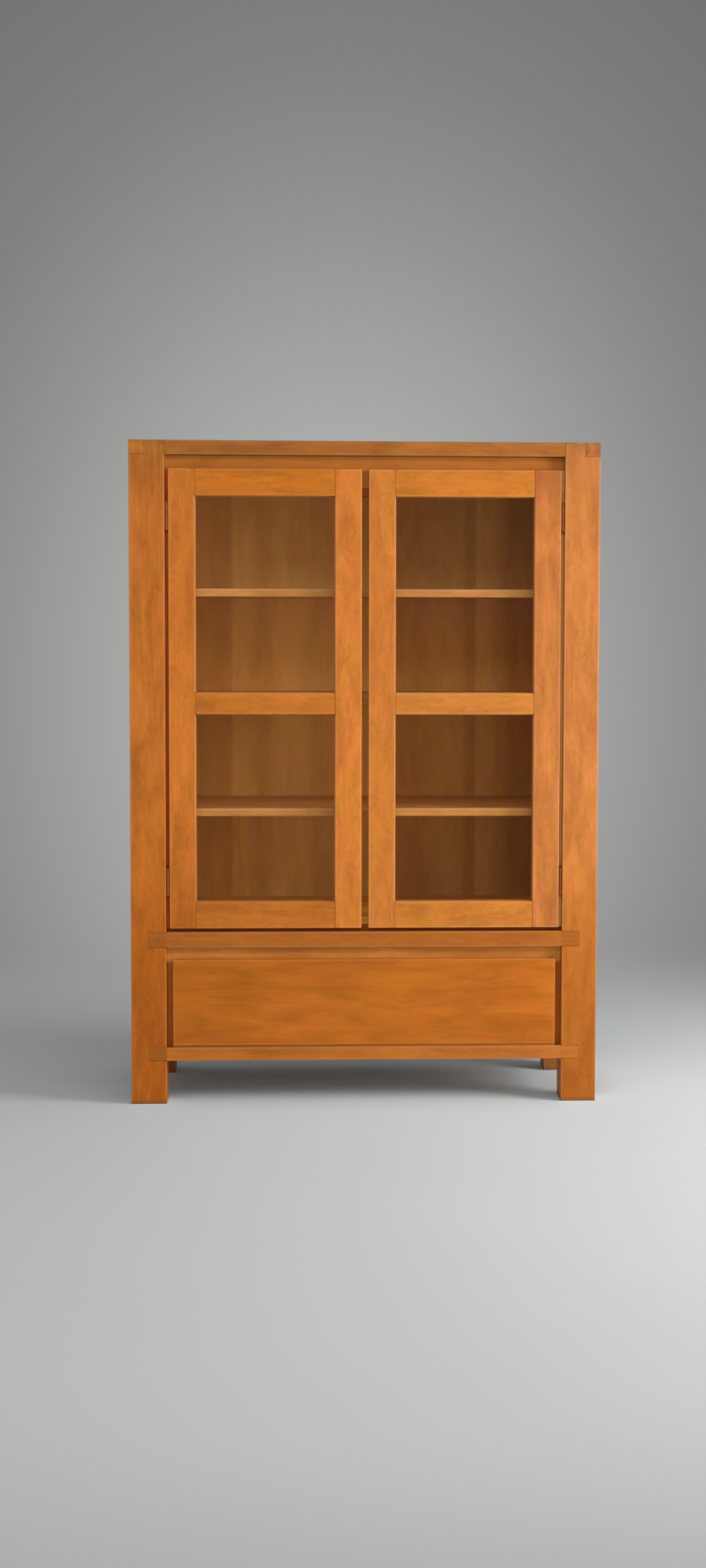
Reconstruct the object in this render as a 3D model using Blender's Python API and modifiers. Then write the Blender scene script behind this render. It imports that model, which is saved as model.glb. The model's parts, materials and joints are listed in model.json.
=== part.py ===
"""A tall solid-wood display cabinet: two glazed doors above one wide drawer.

Metres, +Z up. The front faces -Y, the floor is at Z = 0 and the origin is the centre of the footprint.
"""

import math

import bmesh
import bpy
from mathutils import Matrix, Vector

# Overall size
WIDTH = 1.200
DEPTH = 0.500
HEIGHT = 1.700

# Frame stock
POST = 0.090
TOP_RAIL_HEIGHT = 0.036
MIDDLE_RAIL_HEIGHT = 0.040
BASE_RAIL_HEIGHT = 0.034
RAIL_DEPTH = 0.045
SIDE_RAIL_WIDTH = 0.039
FOOT_HEIGHT = 0.112
RAIL_LAP = 0.045
TENON_LENGTH = 0.020
TENON_THICK = 0.012
TENON_SHOULDER = 0.006

# Boards and panels
TOP_THICK = 0.020
TOP_REBATE = 0.010
FLOOR_THICK = 0.020
SHELF_THICK = 0.020
SIDE_PANEL_THICK = 0.016
BACK_PANEL_THICK = 0.008
PANEL_GROOVE = 0.008
HOUSING = 0.010
STRIP_THICK = 0.022

# Heights on the front, from the drawer up
DRAWER_FOOT_GAP = 0.005
DRAWER_HEIGHT = 0.2225
DRAWER_STRIP_SHOWN = 0.032
DRAWER_STRIP_LAP = 0.010
DOOR_FOOT_GAP = 0.0095
DOOR_STRIP_SHOWN = 0.035
DOOR_STRIP_LAP = 0.047
SILL_HEIGHT = 0.016

# Clear heights between the boards of the display space
LOWER_BAY = 0.2595
SECOND_BAY = 0.270
THIRD_BAY = 0.255
SHELF_SETBACK = 0.020
SHELF_PLAY = 0.0008

# Shelf pins
SHELF_PIN_RADIUS = 0.003
SHELF_PIN_REACH = 0.012
SHELF_PIN_DEPTH = 0.010
SHELF_PIN_INSET = 0.022
SHELF_PIN_SINK = 0.001

# Doors
FRONT_THICK = 0.022
FRONT_SETBACK = 0.002
STOP_GAP = 0.001
MEETING_GAP = 0.018
STILE = 0.068
DOOR_RAIL = 0.068
DOOR_MIDDLE_RAIL = 0.054
LOWER_PANE = 0.483
GLASS_THICK = 0.004
GLASS_GROOVE = 0.010

# Butt hinges
PIN_RADIUS = 0.0015
PIN_PLAY = 0.0001
PIN_HEAD_RADIUS = 0.0028
PIN_HEAD_HEIGHT = 0.0015
KNUCKLES = 3
KNUCKLE_WALL = 0.0019
KNUCKLE_GAP = 0.0004
BARREL_CLEAR = 0.001
LEAF_THICK = 0.0015
LEAF_MARGIN = 0.003
TAB_INSET = 0.0002
HINGE_HEIGHT = 0.070
HINGE_INSET = 0.120
AXIS_INSET = 0.003

# Catch and strikes
CATCH_HEIGHT = 0.022
CATCH_DEPTH = 0.018
CATCH_MARGIN = 0.004
STRIKE_WIDTH = 0.026
STRIKE_THICK = 0.0015
STRIKE_INSET = 0.004
STRIKE_MARGIN = 0.003

# Drawer
DRAWER_SIDE_GAP = 0.0165
DRAWER_SIDE_THICK = 0.016
DRAWER_SIDE_LIFT = 0.010
DRAWER_TOP_SPACE = 0.017
DRAWER_BACK_SPACE = 0.020
DRAWER_BOTTOM_THICK = 0.006
DRAWER_BOTTOM_RISE = 0.012
DRAWER_BOTTOM_GROOVE = 0.006
RUNNER_HEIGHT = 0.020
RUNNER_GROOVE = 0.008
RUNNER_PLAY = 0.0005
RUNNER_FRONT_SPACE = 0.040

# Fits and edges
CLEAR = 0.0003
OVERCUT = 0.002
EASE = 0.0015
EASE_STEPS = 2
ROUND_SIDES = 16
MERGE = 0.00001

# Places that follow from the sizes above
FRONT = -DEPTH / 2
BACK = DEPTH / 2
OPENING = WIDTH / 2 - POST
POST_REAR_OF_FRONT = FRONT + POST
POST_FRONT_OF_REAR = BACK - POST

BASE_TOP = FOOT_HEIGHT + BASE_RAIL_HEIGHT
DRAWER_FOOT = BASE_TOP + DRAWER_FOOT_GAP
DRAWER_TOP = DRAWER_FOOT + DRAWER_HEIGHT
MIDDLE_FOOT = DRAWER_TOP + DRAWER_STRIP_SHOWN
MIDDLE_TOP = MIDDLE_FOOT + MIDDLE_RAIL_HEIGHT
DOOR_FOOT = MIDDLE_TOP + DOOR_FOOT_GAP
TOP_RAIL_FOOT = HEIGHT - TOP_RAIL_HEIGHT
DOOR_TOP = TOP_RAIL_FOOT - DOOR_STRIP_SHOWN
HEADER_FOOT = DOOR_TOP - DOOR_STRIP_LAP
FLOOR_FOOT = MIDDLE_TOP + SILL_HEIGHT
FLOOR_TOP = FLOOR_FOOT + FLOOR_THICK
LOWER_SHELF_TOP = FLOOR_TOP + LOWER_BAY + SHELF_THICK
MIDDLE_SHELF_TOP = LOWER_SHELF_TOP + SECOND_BAY + SHELF_THICK
UPPER_SHELF_TOP = MIDDLE_SHELF_TOP + THIRD_BAY + SHELF_THICK

LEAF_FRONT = FRONT + FRONT_SETBACK
LEAF_REAR = LEAF_FRONT + FRONT_THICK
STOP_PLANE = LEAF_REAR + STOP_GAP
SIDE_PANEL_MIDDLE = WIDTH / 2 - SIDE_RAIL_WIDTH / 2
SIDE_PANEL_INNER = SIDE_PANEL_MIDDLE - SIDE_PANEL_THICK / 2
BACK_PANEL_MIDDLE = BACK - RAIL_DEPTH / 2
BACK_PANEL_FRONT = BACK_PANEL_MIDDLE - BACK_PANEL_THICK / 2

BARREL_RADIUS = PIN_RADIUS + PIN_PLAY + KNUCKLE_WALL
HINGE_GAP = 2 * (BARREL_RADIUS + BARREL_CLEAR)
DOOR_OUTER = OPENING - HINGE_GAP
DOOR_INNER = MEETING_GAP / 2
AXIS_X = OPENING - HINGE_GAP / 2
AXIS_Y = LEAF_FRONT + AXIS_INSET

OAK = ((0.52, 0.18, 0.036), 0.45, 0.0)
DRAWER_BOX_WOOD = ((0.45, 0.24, 0.10), 0.55, 0.0)
CLEAR_GLASS = ((0.85, 0.90, 0.88), 0.05, 0.0)
DARK_BRONZE = ((0.06, 0.035, 0.02), 0.40, 1.0)
DARK_PLASTIC = ((0.05, 0.025, 0.012), 0.50, 0.0)
STEEL = ((0.55, 0.54, 0.52), 0.35, 1.0)


def clear_scene():
    """Remove every object that the file starts with."""
    for obj in list(bpy.data.objects):
        bpy.data.objects.remove(obj, do_unlink=True)


def new_collection(name):
    """A collection linked into the scene."""
    collection = bpy.data.collections.new(name)
    bpy.context.scene.collection.children.link(collection)
    return collection


def new_material(name, finish):
    """A Principled BSDF from a finish: colour, roughness, metallic."""
    colour, roughness, metallic = finish
    material = bpy.data.materials.new(name)
    material.use_nodes = True
    shader = material.node_tree.nodes["Principled BSDF"]
    shader.inputs["Base Color"].default_value = (*colour, 1.0)
    shader.inputs["Roughness"].default_value = roughness
    shader.inputs["Metallic"].default_value = metallic
    if finish is CLEAR_GLASS:
        shader.inputs["Transmission Weight"].default_value = 0.95
    material.diffuse_color = (*colour, 1.0)
    return material


class Workshop:
    """Makes the pieces, and keeps them and their cutters in two collections."""

    def __init__(self):
        self.parts = new_collection("display_cabinet")
        self.cutters = new_collection("display_cabinet_cutters")

    def place(self, name, shape, location, collection):
        """Turn a bmesh into an object at a world location."""
        mesh = bpy.data.meshes.new(name)
        shape.to_mesh(mesh)
        shape.free()
        obj = bpy.data.objects.new(name, mesh)
        obj.location = location
        collection.objects.link(obj)
        return obj

    def finish_part(self, obj, finish, holder):
        """Give a part its material and, if it moves, its parent empty on the joint."""
        obj.data.materials.append(new_material(obj.name, finish))
        if holder is not None:
            obj.parent = holder
            obj.location = obj.location - holder.location
        return obj

    def axis_empty(self, name, location):
        """An empty on a joint's axis, which the pieces of that body are parented to."""
        empty = bpy.data.objects.new(name, None)
        empty.location = location
        empty.empty_display_size = 0.05
        self.parts.objects.link(empty)
        return empty

    def block(self, name, low, high, finish=OAK, eased="", holder=None):
        """A box between two corners, with the edges along the named axes eased."""
        shape, middle = box_shape(low, high, eased)
        obj = self.place(name, shape, middle, self.parts)
        return self.finish_part(obj, finish, holder)

    def helper(self, piece, shape, location, operation):
        """A hidden shape that a Boolean cuts from a piece or joins to it."""
        kind = "cut" if operation == "DIFFERENCE" else "joined"
        count = len(piece.modifiers) + 1
        tool = self.place(f"{piece.name}_{kind}_{count}", shape, location, self.cutters)
        tool.hide_render = True
        tool.display_type = "WIRE"
        modifier = piece.modifiers.new(tool.name, "BOOLEAN")
        modifier.operation = operation
        modifier.solver = "EXACT"
        modifier.object = tool

    def cut(self, piece, low, high):
        """Cut a box out of a piece."""
        self.helper(piece, *box_shape(low, high), "DIFFERENCE")

    def join(self, piece, low, high):
        """Join a box to a piece that it overlaps."""
        self.helper(piece, *box_shape(low, high), "UNION")

    def drill(self, piece, middle, axis, radius, length):
        """Cut a round hole along X or Z."""
        self.helper(piece, rod_shape(axis, radius, length), middle, "DIFFERENCE")

    def join_rod(self, piece, middle, axis, radius, length):
        """Join a round pin or knuckle along X or Z."""
        self.helper(piece, rod_shape(axis, radius, length), middle, "UNION")


def box_shape(low, high, eased=""):
    """A bmesh box centred on its own origin, and the place of its middle."""
    low = Vector(low)
    high = Vector(high)
    size = high - low
    shape = bmesh.new()
    bmesh.ops.create_cube(shape, size=1.0, matrix=Matrix.Diagonal((*size, 1.0)))
    edges = [edge for edge in shape.edges if edge_axis(edge) in eased]
    if edges:
        bmesh.ops.bevel(
            shape,
            geom=edges,
            offset=EASE,
            offset_type="OFFSET",
            segments=EASE_STEPS,
            profile=0.5,
            affect="EDGES",
        )
    return shape, (low + high) / 2


def edge_axis(edge):
    """The letter of the axis that an edge of a box runs along."""
    run = edge.verts[1].co - edge.verts[0].co
    return "xyz"[max(range(3), key=lambda axis: abs(run[axis]))]


def rod_shape(axis, radius, length):
    """A closed round rod centred on its own origin, along X or Z."""
    turn = Matrix.Rotation(math.pi / 2, 4, "Y") if axis == "x" else Matrix.Identity(4)
    shape = bmesh.new()
    bmesh.ops.create_cone(
        shape,
        cap_ends=True,
        segments=ROUND_SIDES,
        radius1=radius,
        radius2=radius,
        depth=length,
        matrix=turn,
    )
    return shape


def spread(side, inner, outer):
    """The two X values of a piece on one side, side being -1 for left and 1 for right."""
    return sorted((side * inner, side * outer))


def side_name(side):
    return "left" if side < 0 else "right"


def corner_posts(shop):
    """Four square posts, by (end, side), end being front or rear."""
    posts = {}
    for end, near, far in (
        ("front", FRONT, POST_REAR_OF_FRONT),
        ("rear", POST_FRONT_OF_REAR, BACK),
    ):
        for side in (-1, 1):
            x0, x1 = spread(side, OPENING, WIDTH / 2)
            name = f"post_{end}_{side_name(side)}"
            posts[end, side] = shop.block(name, (x0, near, 0), (x1, far, HEIGHT), eased="xyz")
    return posts


def lapped_rail(shop, posts, name, foot, top):
    """A front rail let into the faces of the two front posts."""
    reach = OPENING + RAIL_LAP
    rear = FRONT + RAIL_DEPTH
    rail = shop.block(name, (-reach, FRONT, foot), (reach, rear, top), eased="x")
    for side in (-1, 1):
        x0, x1 = spread(side, OPENING - OVERCUT, reach + CLEAR)
        low = (x0, FRONT - OVERCUT, foot - CLEAR)
        high = (x1, rear + CLEAR, top + CLEAR)
        shop.cut(posts["front", side], low, high)
    return rail


def tenoned_cross_rail(shop, posts, name, end, foot, top):
    """A front or rear rail between two posts, with a stub tenon in each."""
    y0 = FRONT if end == "front" else BACK - RAIL_DEPTH
    y1 = y0 + RAIL_DEPTH
    reach = OPENING - CLEAR
    rail = shop.block(name, (-reach, y0, foot), (reach, y1, top), eased="x")
    middle = (y0 + y1) / 2
    for side in (-1, 1):
        x0, x1 = spread(side, reach - OVERCUT, OPENING + TENON_LENGTH)
        low = (x0, middle - TENON_THICK / 2, foot + TENON_SHOULDER)
        high = (x1, middle + TENON_THICK / 2, top - TENON_SHOULDER)
        shop.join(rail, low, high)
        x0, x1 = spread(side, OPENING - OVERCUT, OPENING + TENON_LENGTH + CLEAR)
        low = (x0, middle - TENON_THICK / 2 - CLEAR, foot + TENON_SHOULDER - CLEAR)
        high = (x1, middle + TENON_THICK / 2 + CLEAR, top - TENON_SHOULDER + CLEAR)
        shop.cut(posts[end, side], low, high)
    return rail


def top_side_rail(shop, posts, side):
    """A side rail in the outer top corners of the posts, its end grain flush with the front."""
    x0, x1 = spread(side, WIDTH / 2 - SIDE_RAIL_WIDTH, WIDTH / 2)
    name = f"top_rail_{side_name(side)}"
    rail = shop.block(name, (x0, FRONT, TOP_RAIL_FOOT), (x1, BACK, HEIGHT), eased="y")
    x0, x1 = spread(side, WIDTH / 2 - SIDE_RAIL_WIDTH - CLEAR, WIDTH / 2 + OVERCUT)
    for end, near, far in (
        ("front", FRONT - OVERCUT, POST_REAR_OF_FRONT + OVERCUT),
        ("rear", POST_FRONT_OF_REAR - OVERCUT, BACK + OVERCUT),
    ):
        low = (x0, near, TOP_RAIL_FOOT - CLEAR)
        shop.cut(posts[end, side], low, (x1, far, HEIGHT + OVERCUT))
    return rail


def bottom_side_rail(shop, posts, side):
    """A side rail of the base, tenoned between the front and the rear post."""
    x0, x1 = spread(side, WIDTH / 2 - SIDE_RAIL_WIDTH, WIDTH / 2)
    name = f"bottom_rail_{side_name(side)}"
    near = POST_REAR_OF_FRONT + CLEAR
    far = POST_FRONT_OF_REAR - CLEAR
    rail = shop.block(name, (x0, near, FOOT_HEIGHT), (x1, far, BASE_TOP), eased="y")
    middle = (x0 + x1) / 2
    foot = FOOT_HEIGHT + TENON_SHOULDER
    top = BASE_TOP - TENON_SHOULDER
    half = TENON_THICK / 2
    for end, shoulder, toward in (("front", near, -1), ("rear", far, 1)):
        y0, y1 = sorted((shoulder - toward * OVERCUT, shoulder + toward * (TENON_LENGTH - CLEAR)))
        shop.join(rail, (middle - half, y0, foot), (middle + half, y1, top))
        y0, y1 = sorted((shoulder - toward * OVERCUT, shoulder + toward * (TENON_LENGTH + CLEAR)))
        low = (middle - half - CLEAR, y0, foot - CLEAR)
        shop.cut(posts[end, side], low, (middle + half + CLEAR, y1, top + CLEAR))
    return rail


def side_panel(shop, posts, top_rail, bottom_rail, side):
    """A panel in grooves of two posts and two side rails."""
    half = SIDE_PANEL_THICK / 2
    x0, x1 = spread(side, SIDE_PANEL_MIDDLE - half, SIDE_PANEL_MIDDLE + half)
    near = POST_REAR_OF_FRONT - PANEL_GROOVE
    far = POST_FRONT_OF_REAR + PANEL_GROOVE
    foot = BASE_TOP - PANEL_GROOVE
    top = TOP_RAIL_FOOT + PANEL_GROOVE
    panel = shop.block(f"side_panel_{side_name(side)}", (x0, near, foot), (x1, far, top))
    wide = (x0 - CLEAR, x1 + CLEAR)
    low_z = foot - CLEAR
    high_z = top + CLEAR
    front_groove = (near - CLEAR, POST_REAR_OF_FRONT + OVERCUT)
    rear_groove = (POST_FRONT_OF_REAR - OVERCUT, far + CLEAR)
    for end, (y0, y1) in (("front", front_groove), ("rear", rear_groove)):
        shop.cut(posts[end, side], (wide[0], y0, low_z), (wide[1], y1, high_z))
    y0 = near - CLEAR
    y1 = far + CLEAR
    shop.cut(top_rail, (wide[0], y0, TOP_RAIL_FOOT - OVERCUT), (wide[1], y1, high_z))
    y0 = POST_REAR_OF_FRONT - TENON_LENGTH - OVERCUT
    y1 = POST_FRONT_OF_REAR + TENON_LENGTH + OVERCUT
    shop.cut(bottom_rail, (wide[0], y0, low_z), (wide[1], y1, BASE_TOP + OVERCUT))
    return panel


def back_panel(shop, posts, top_rail, bottom_rail):
    """A panel in grooves of the rear posts and the two rear rails."""
    half = BACK_PANEL_THICK / 2
    reach = OPENING + PANEL_GROOVE
    y0 = BACK_PANEL_MIDDLE - half
    y1 = BACK_PANEL_MIDDLE + half
    foot = BASE_TOP - PANEL_GROOVE
    top = TOP_RAIL_FOOT + PANEL_GROOVE
    panel = shop.block("back_panel", (-reach, y0, foot), (reach, y1, top))
    for side in (-1, 1):
        x0, x1 = spread(side, OPENING - OVERCUT, reach + CLEAR)
        low = (x0, y0 - CLEAR, foot - CLEAR)
        shop.cut(posts["rear", side], low, (x1, y1 + CLEAR, top + CLEAR))
    span = OPENING + TENON_LENGTH + OVERCUT
    low = (-span, y0 - CLEAR, TOP_RAIL_FOOT - OVERCUT)
    shop.cut(top_rail, low, (span, y1 + CLEAR, top + CLEAR))
    low = (-span, y0 - CLEAR, foot - CLEAR)
    shop.cut(bottom_rail, low, (span, y1 + CLEAR, BASE_TOP + OVERCUT))
    return panel


def top_panel(shop, cross_rails, side_rails):
    """The top board, notched round the posts and let into rebates of the four top rails.

    The side rails' rebates stop at the posts, where the board is notched.
    """
    reach_x = WIDTH / 2 - SIDE_RAIL_WIDTH + TOP_REBATE
    reach_y = BACK - RAIL_DEPTH + TOP_REBATE
    foot = HEIGHT - TOP_THICK
    panel = shop.block("top_panel", (-reach_x, -reach_y, foot), (reach_x, reach_y, HEIGHT))
    for side in (-1, 1):
        x0, x1 = spread(side, OPENING - CLEAR, WIDTH / 2)
        for y0, y1 in ((FRONT, POST_REAR_OF_FRONT + CLEAR), (POST_FRONT_OF_REAR - CLEAR, BACK)):
            shop.cut(panel, (x0, y0, foot - OVERCUT), (x1, y1, HEIGHT + OVERCUT))
    rebates = (
        (cross_rails, -reach_y - CLEAR, reach_y + CLEAR),
        (side_rails, POST_REAR_OF_FRONT, POST_FRONT_OF_REAR),
    )
    for rails, near, far in rebates:
        low = (-reach_x - CLEAR, near, foot - CLEAR)
        high = (reach_x + CLEAR, far, HEIGHT + OVERCUT)
        for rail in rails:
            shop.cut(rail, low, high)
    return panel


def recessed_strip(shop, name, foot, top):
    """A strip between the posts, set back behind the doors or the drawer front."""
    reach = OPENING - CLEAR
    low = (-reach, STOP_PLANE, foot)
    return shop.block(name, low, (reach, STOP_PLANE + STRIP_THICK, top), eased="x")


def housed_board(shop, posts, name, front, foot, thick):
    """A board whose corners are housed in the four posts."""
    top = foot + thick
    reach = SIDE_PANEL_INNER - CLEAR
    rear = BACK_PANEL_FRONT - CLEAR
    board = shop.block(name, (-reach, front, foot), (reach, rear, top), eased="x")
    housed_x = OPENING + HOUSING
    housed_front = POST_REAR_OF_FRONT - HOUSING
    housed_rear = POST_FRONT_OF_REAR + HOUSING
    for side in (-1, 1):
        x0, x1 = spread(side, housed_x, WIDTH / 2)
        for end, y0, y1 in (
            ("front", FRONT, housed_front),
            ("rear", housed_rear, BACK),
        ):
            shop.cut(board, (x0, y0, foot - OVERCUT), (x1, y1, top + OVERCUT))
        low_z = foot - CLEAR
        high_z = top + CLEAR
        x0, x1 = spread(side, OPENING - OVERCUT, housed_x + CLEAR)
        low = (x0, front - CLEAR, low_z)
        shop.cut(posts["front", side], low, (x1, POST_REAR_OF_FRONT + OVERCUT, high_z))
        low = (x0, POST_FRONT_OF_REAR - OVERCUT, low_z)
        shop.cut(posts["rear", side], low, (x1, rear + 2 * CLEAR, high_z))
        x0, x1 = spread(side, OPENING - OVERCUT, SIDE_PANEL_INNER)
        low = (x0, housed_front - CLEAR, low_z)
        shop.cut(posts["front", side], low, (x1, POST_REAR_OF_FRONT + OVERCUT, high_z))
        low = (x0, POST_FRONT_OF_REAR - OVERCUT, low_z)
        shop.cut(posts["rear", side], low, (x1, housed_rear + CLEAR, high_z))
    return board


def pinned_shelf(shop, posts, name, top):
    """A loose shelf notched round the posts, on four pins that stand in holes of the posts."""
    foot = top - SHELF_THICK
    front = STOP_PLANE + SHELF_SETBACK
    rear = BACK_PANEL_FRONT - SHELF_PLAY
    reach = SIDE_PANEL_INNER - SHELF_PLAY
    shelf = shop.block(name, (-reach, front, foot), (reach, rear, top), eased="x")
    pin_middle = foot - SHELF_PIN_RADIUS + SHELF_PIN_SINK
    for side in (-1, 1):
        x0, x1 = spread(side, OPENING - SHELF_PLAY, WIDTH / 2)
        for y0, y1 in (
            (FRONT, POST_REAR_OF_FRONT + SHELF_PLAY),
            (POST_FRONT_OF_REAR - SHELF_PLAY, BACK),
        ):
            shop.cut(shelf, (x0, y0, foot - OVERCUT), (x1, y1, top + OVERCUT))
        pin_places = (
            ("front", POST_REAR_OF_FRONT - SHELF_PIN_INSET),
            ("rear", POST_FRONT_OF_REAR + SHELF_PIN_INSET),
        )
        for end, y in pin_places:
            inner = OPENING - SHELF_PIN_REACH
            outer = OPENING + SHELF_PIN_DEPTH
            middle = (side * (inner + outer) / 2, y, pin_middle)
            shop.join_rod(shelf, middle, "x", SHELF_PIN_RADIUS, outer - inner)
            deep = outer + CLEAR
            mouth = OPENING - OVERCUT
            middle = (side * (mouth + deep) / 2, y, pin_middle)
            radius = SHELF_PIN_RADIUS + CLEAR
            shop.drill(posts[end, side], middle, "x", radius, deep - mouth)
    return shelf


def carcass(shop):
    """Everything that stands still: frame, panels, boards and strips."""
    posts = corner_posts(shop)
    lapped_rail(shop, posts, "bottom_rail_front", FOOT_HEIGHT, BASE_TOP)
    lapped_rail(shop, posts, "middle_rail", MIDDLE_FOOT, MIDDLE_TOP)
    cross_rails = [
        tenoned_cross_rail(shop, posts, f"top_rail_{end}", end, TOP_RAIL_FOOT, HEIGHT)
        for end in ("front", "rear")
    ]
    side_rails = []
    bottom_rear = tenoned_cross_rail(shop, posts, "bottom_rail_rear", "rear", FOOT_HEIGHT, BASE_TOP)
    for side in (-1, 1):
        top_rail = top_side_rail(shop, posts, side)
        bottom_rail = bottom_side_rail(shop, posts, side)
        side_panel(shop, posts, top_rail, bottom_rail, side)
        side_rails.append(top_rail)
    back_panel(shop, posts, cross_rails[1], bottom_rear)
    top_panel(shop, cross_rails, side_rails)
    recessed_strip(shop, "door_header", HEADER_FOOT, TOP_RAIL_FOOT - CLEAR)
    recessed_strip(shop, "drawer_header", DRAWER_TOP - DRAWER_STRIP_LAP, MIDDLE_FOOT - CLEAR)
    recessed_strip(shop, "floor_sill", MIDDLE_TOP + CLEAR, FLOOR_FOOT - CLEAR)
    housed_board(shop, posts, "cabinet_floor", STOP_PLANE, FLOOR_FOOT, FLOOR_THICK)
    shelf_front = STOP_PLANE + SHELF_SETBACK
    middle_foot = MIDDLE_SHELF_TOP - SHELF_THICK
    housed_board(shop, posts, "shelf_middle", shelf_front, middle_foot, SHELF_THICK)
    pinned_shelf(shop, posts, "shelf_lower", LOWER_SHELF_TOP)
    pinned_shelf(shop, posts, "shelf_upper", UPPER_SHELF_TOP)


def door_rail(shop, name, side, foot, top, grooves, holder):
    """A cross rail of a door, tongued into both stiles and grooved for the panes it meets."""
    inner = DOOR_INNER + STILE + CLEAR
    outer = DOOR_OUTER - STILE - CLEAR
    x0, x1 = spread(side, inner, outer)
    rail = shop.block(name, (x0, LEAF_FRONT, foot), (x1, LEAF_REAR, top), eased="x", holder=holder)
    middle = (LEAF_FRONT + LEAF_REAR) / 2
    half = GLASS_THICK / 2
    tongue_foot = foot + GLASS_GROOVE + CLEAR if "foot" in grooves else foot + EASE
    tongue_top = top - GLASS_GROOVE - CLEAR if "top" in grooves else top - EASE
    for start, end in (
        (inner + OVERCUT, inner - GLASS_GROOVE + CLEAR),
        (outer - OVERCUT, outer + GLASS_GROOVE - CLEAR),
    ):
        t0, t1 = spread(side, start, end)
        shop.join(rail, (t0, middle - half, tongue_foot), (t1, middle + half, tongue_top))
    cut_x = (x0 - GLASS_GROOVE - OVERCUT, x1 + GLASS_GROOVE + OVERCUT)
    depth = GLASS_GROOVE + CLEAR
    for edge, z0, z1 in (
        ("foot", foot - OVERCUT, foot + depth),
        ("top", top - depth, top + OVERCUT),
    ):
        if edge in grooves:
            low = (cut_x[0], middle - half - CLEAR, z0)
            shop.cut(rail, low, (cut_x[1], middle + half + CLEAR, z1))
    return rail


def door_stile(shop, name, side, inner, outer, groove_at, holder):
    """An upright of a door, grooved on the edge that faces the panes."""
    x0, x1 = spread(side, inner, outer)
    low = (x0, LEAF_FRONT, DOOR_FOOT)
    stile = shop.block(name, low, (x1, LEAF_REAR, DOOR_TOP), eased="xyz", holder=holder)
    middle = (LEAF_FRONT + LEAF_REAR) / 2
    half = GLASS_THICK / 2 + CLEAR
    toward = 1 if groove_at == outer else -1
    x0, x1 = spread(side, groove_at + toward * OVERCUT, groove_at - toward * GLASS_GROOVE)
    low = (x0, middle - half, DOOR_FOOT - OVERCUT)
    shop.cut(stile, low, (x1, middle + half, DOOR_TOP + OVERCUT))
    return stile


def pane(shop, name, side, foot, top, holder):
    """A glass pane that reaches into the grooves round it."""
    bite = GLASS_GROOVE - CLEAR
    x0, x1 = spread(side, DOOR_INNER + STILE - bite, DOOR_OUTER - STILE + bite)
    middle = (LEAF_FRONT + LEAF_REAR) / 2
    half = GLASS_THICK / 2
    low = (x0, middle - half, foot - bite)
    return shop.block(name, low, (x1, middle + half, top + bite), CLEAR_GLASS, holder=holder)


def strike_plate(shop, name, side, holder):
    """The steel plate on the back of a meeting stile that the catch holds."""
    inner = DOOR_INNER + STRIKE_INSET
    x0, x1 = spread(side, inner, inner + STRIKE_WIDTH)
    y0 = LEAF_REAR + CLEAR
    z0 = HEADER_FOOT - CATCH_HEIGHT + STRIKE_MARGIN
    z1 = HEADER_FOOT - STRIKE_MARGIN
    low = (x0, y0, z0)
    return shop.block(name, low, (x1, y0 + STRIKE_THICK, z1), STEEL, holder=holder)


def door(shop, side):
    """A glazed frame door: stiles, rails, panes and strike, on its hinge axis."""
    body = f"door_{side_name(side)}"
    holder = shop.axis_empty(f"{body}_axis", (side * AXIS_X, AXIS_Y, DOOR_FOOT))
    glazed = (DOOR_INNER + STILE, DOOR_OUTER - STILE)
    door_stile(shop, f"{body}_meeting_stile", side, DOOR_INNER, glazed[0], glazed[0], holder)
    door_stile(shop, f"{body}_hinge_stile", side, glazed[1], DOOR_OUTER, glazed[1], holder)
    lower_foot = DOOR_FOOT + DOOR_RAIL
    lower_top = lower_foot + LOWER_PANE
    upper_foot = lower_top + DOOR_MIDDLE_RAIL
    upper_top = DOOR_TOP - DOOR_RAIL
    door_rail(shop, f"{body}_bottom_rail", side, DOOR_FOOT, lower_foot, ("top",), holder)
    door_rail(shop, f"{body}_middle_rail", side, lower_top, upper_foot, ("foot", "top"), holder)
    door_rail(shop, f"{body}_top_rail", side, upper_top, DOOR_TOP, ("foot",), holder)
    pane(shop, f"{body}_lower_pane", side, lower_foot, lower_top, holder)
    pane(shop, f"{body}_upper_pane", side, upper_foot, upper_top, holder)
    strike_plate(shop, f"{body}_strike", side, holder)
    for place, middle in (("upper", DOOR_TOP - HINGE_INSET), ("lower", DOOR_FOOT + HINGE_INSET)):
        hinge(shop, f"{body}_{place}_hinge", side, middle, holder)


def hinge(shop, name, side, middle, holder):
    """A butt hinge in the gap beside a door: post leaf, door leaf and pin on one axis."""
    foot = middle - HINGE_HEIGHT / 2
    pitch = HINGE_HEIGHT / KNUCKLES
    knuckles = []
    for number in range(KNUCKLES):
        low = foot + number * pitch
        knuckles.append((low + KNUCKLE_GAP / 2, low + pitch - KNUCKLE_GAP / 2))
    hinge_leaf(shop, f"{name}_post_leaf", side, OPENING, -1, foot, knuckles[0::2], None)
    hinge_leaf(shop, f"{name}_door_leaf", side, DOOR_OUTER, 1, foot, knuckles[1::2], holder)
    hinge_pin(shop, f"{name}_pin", side, knuckles[0][0], knuckles[-1][1])


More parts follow.
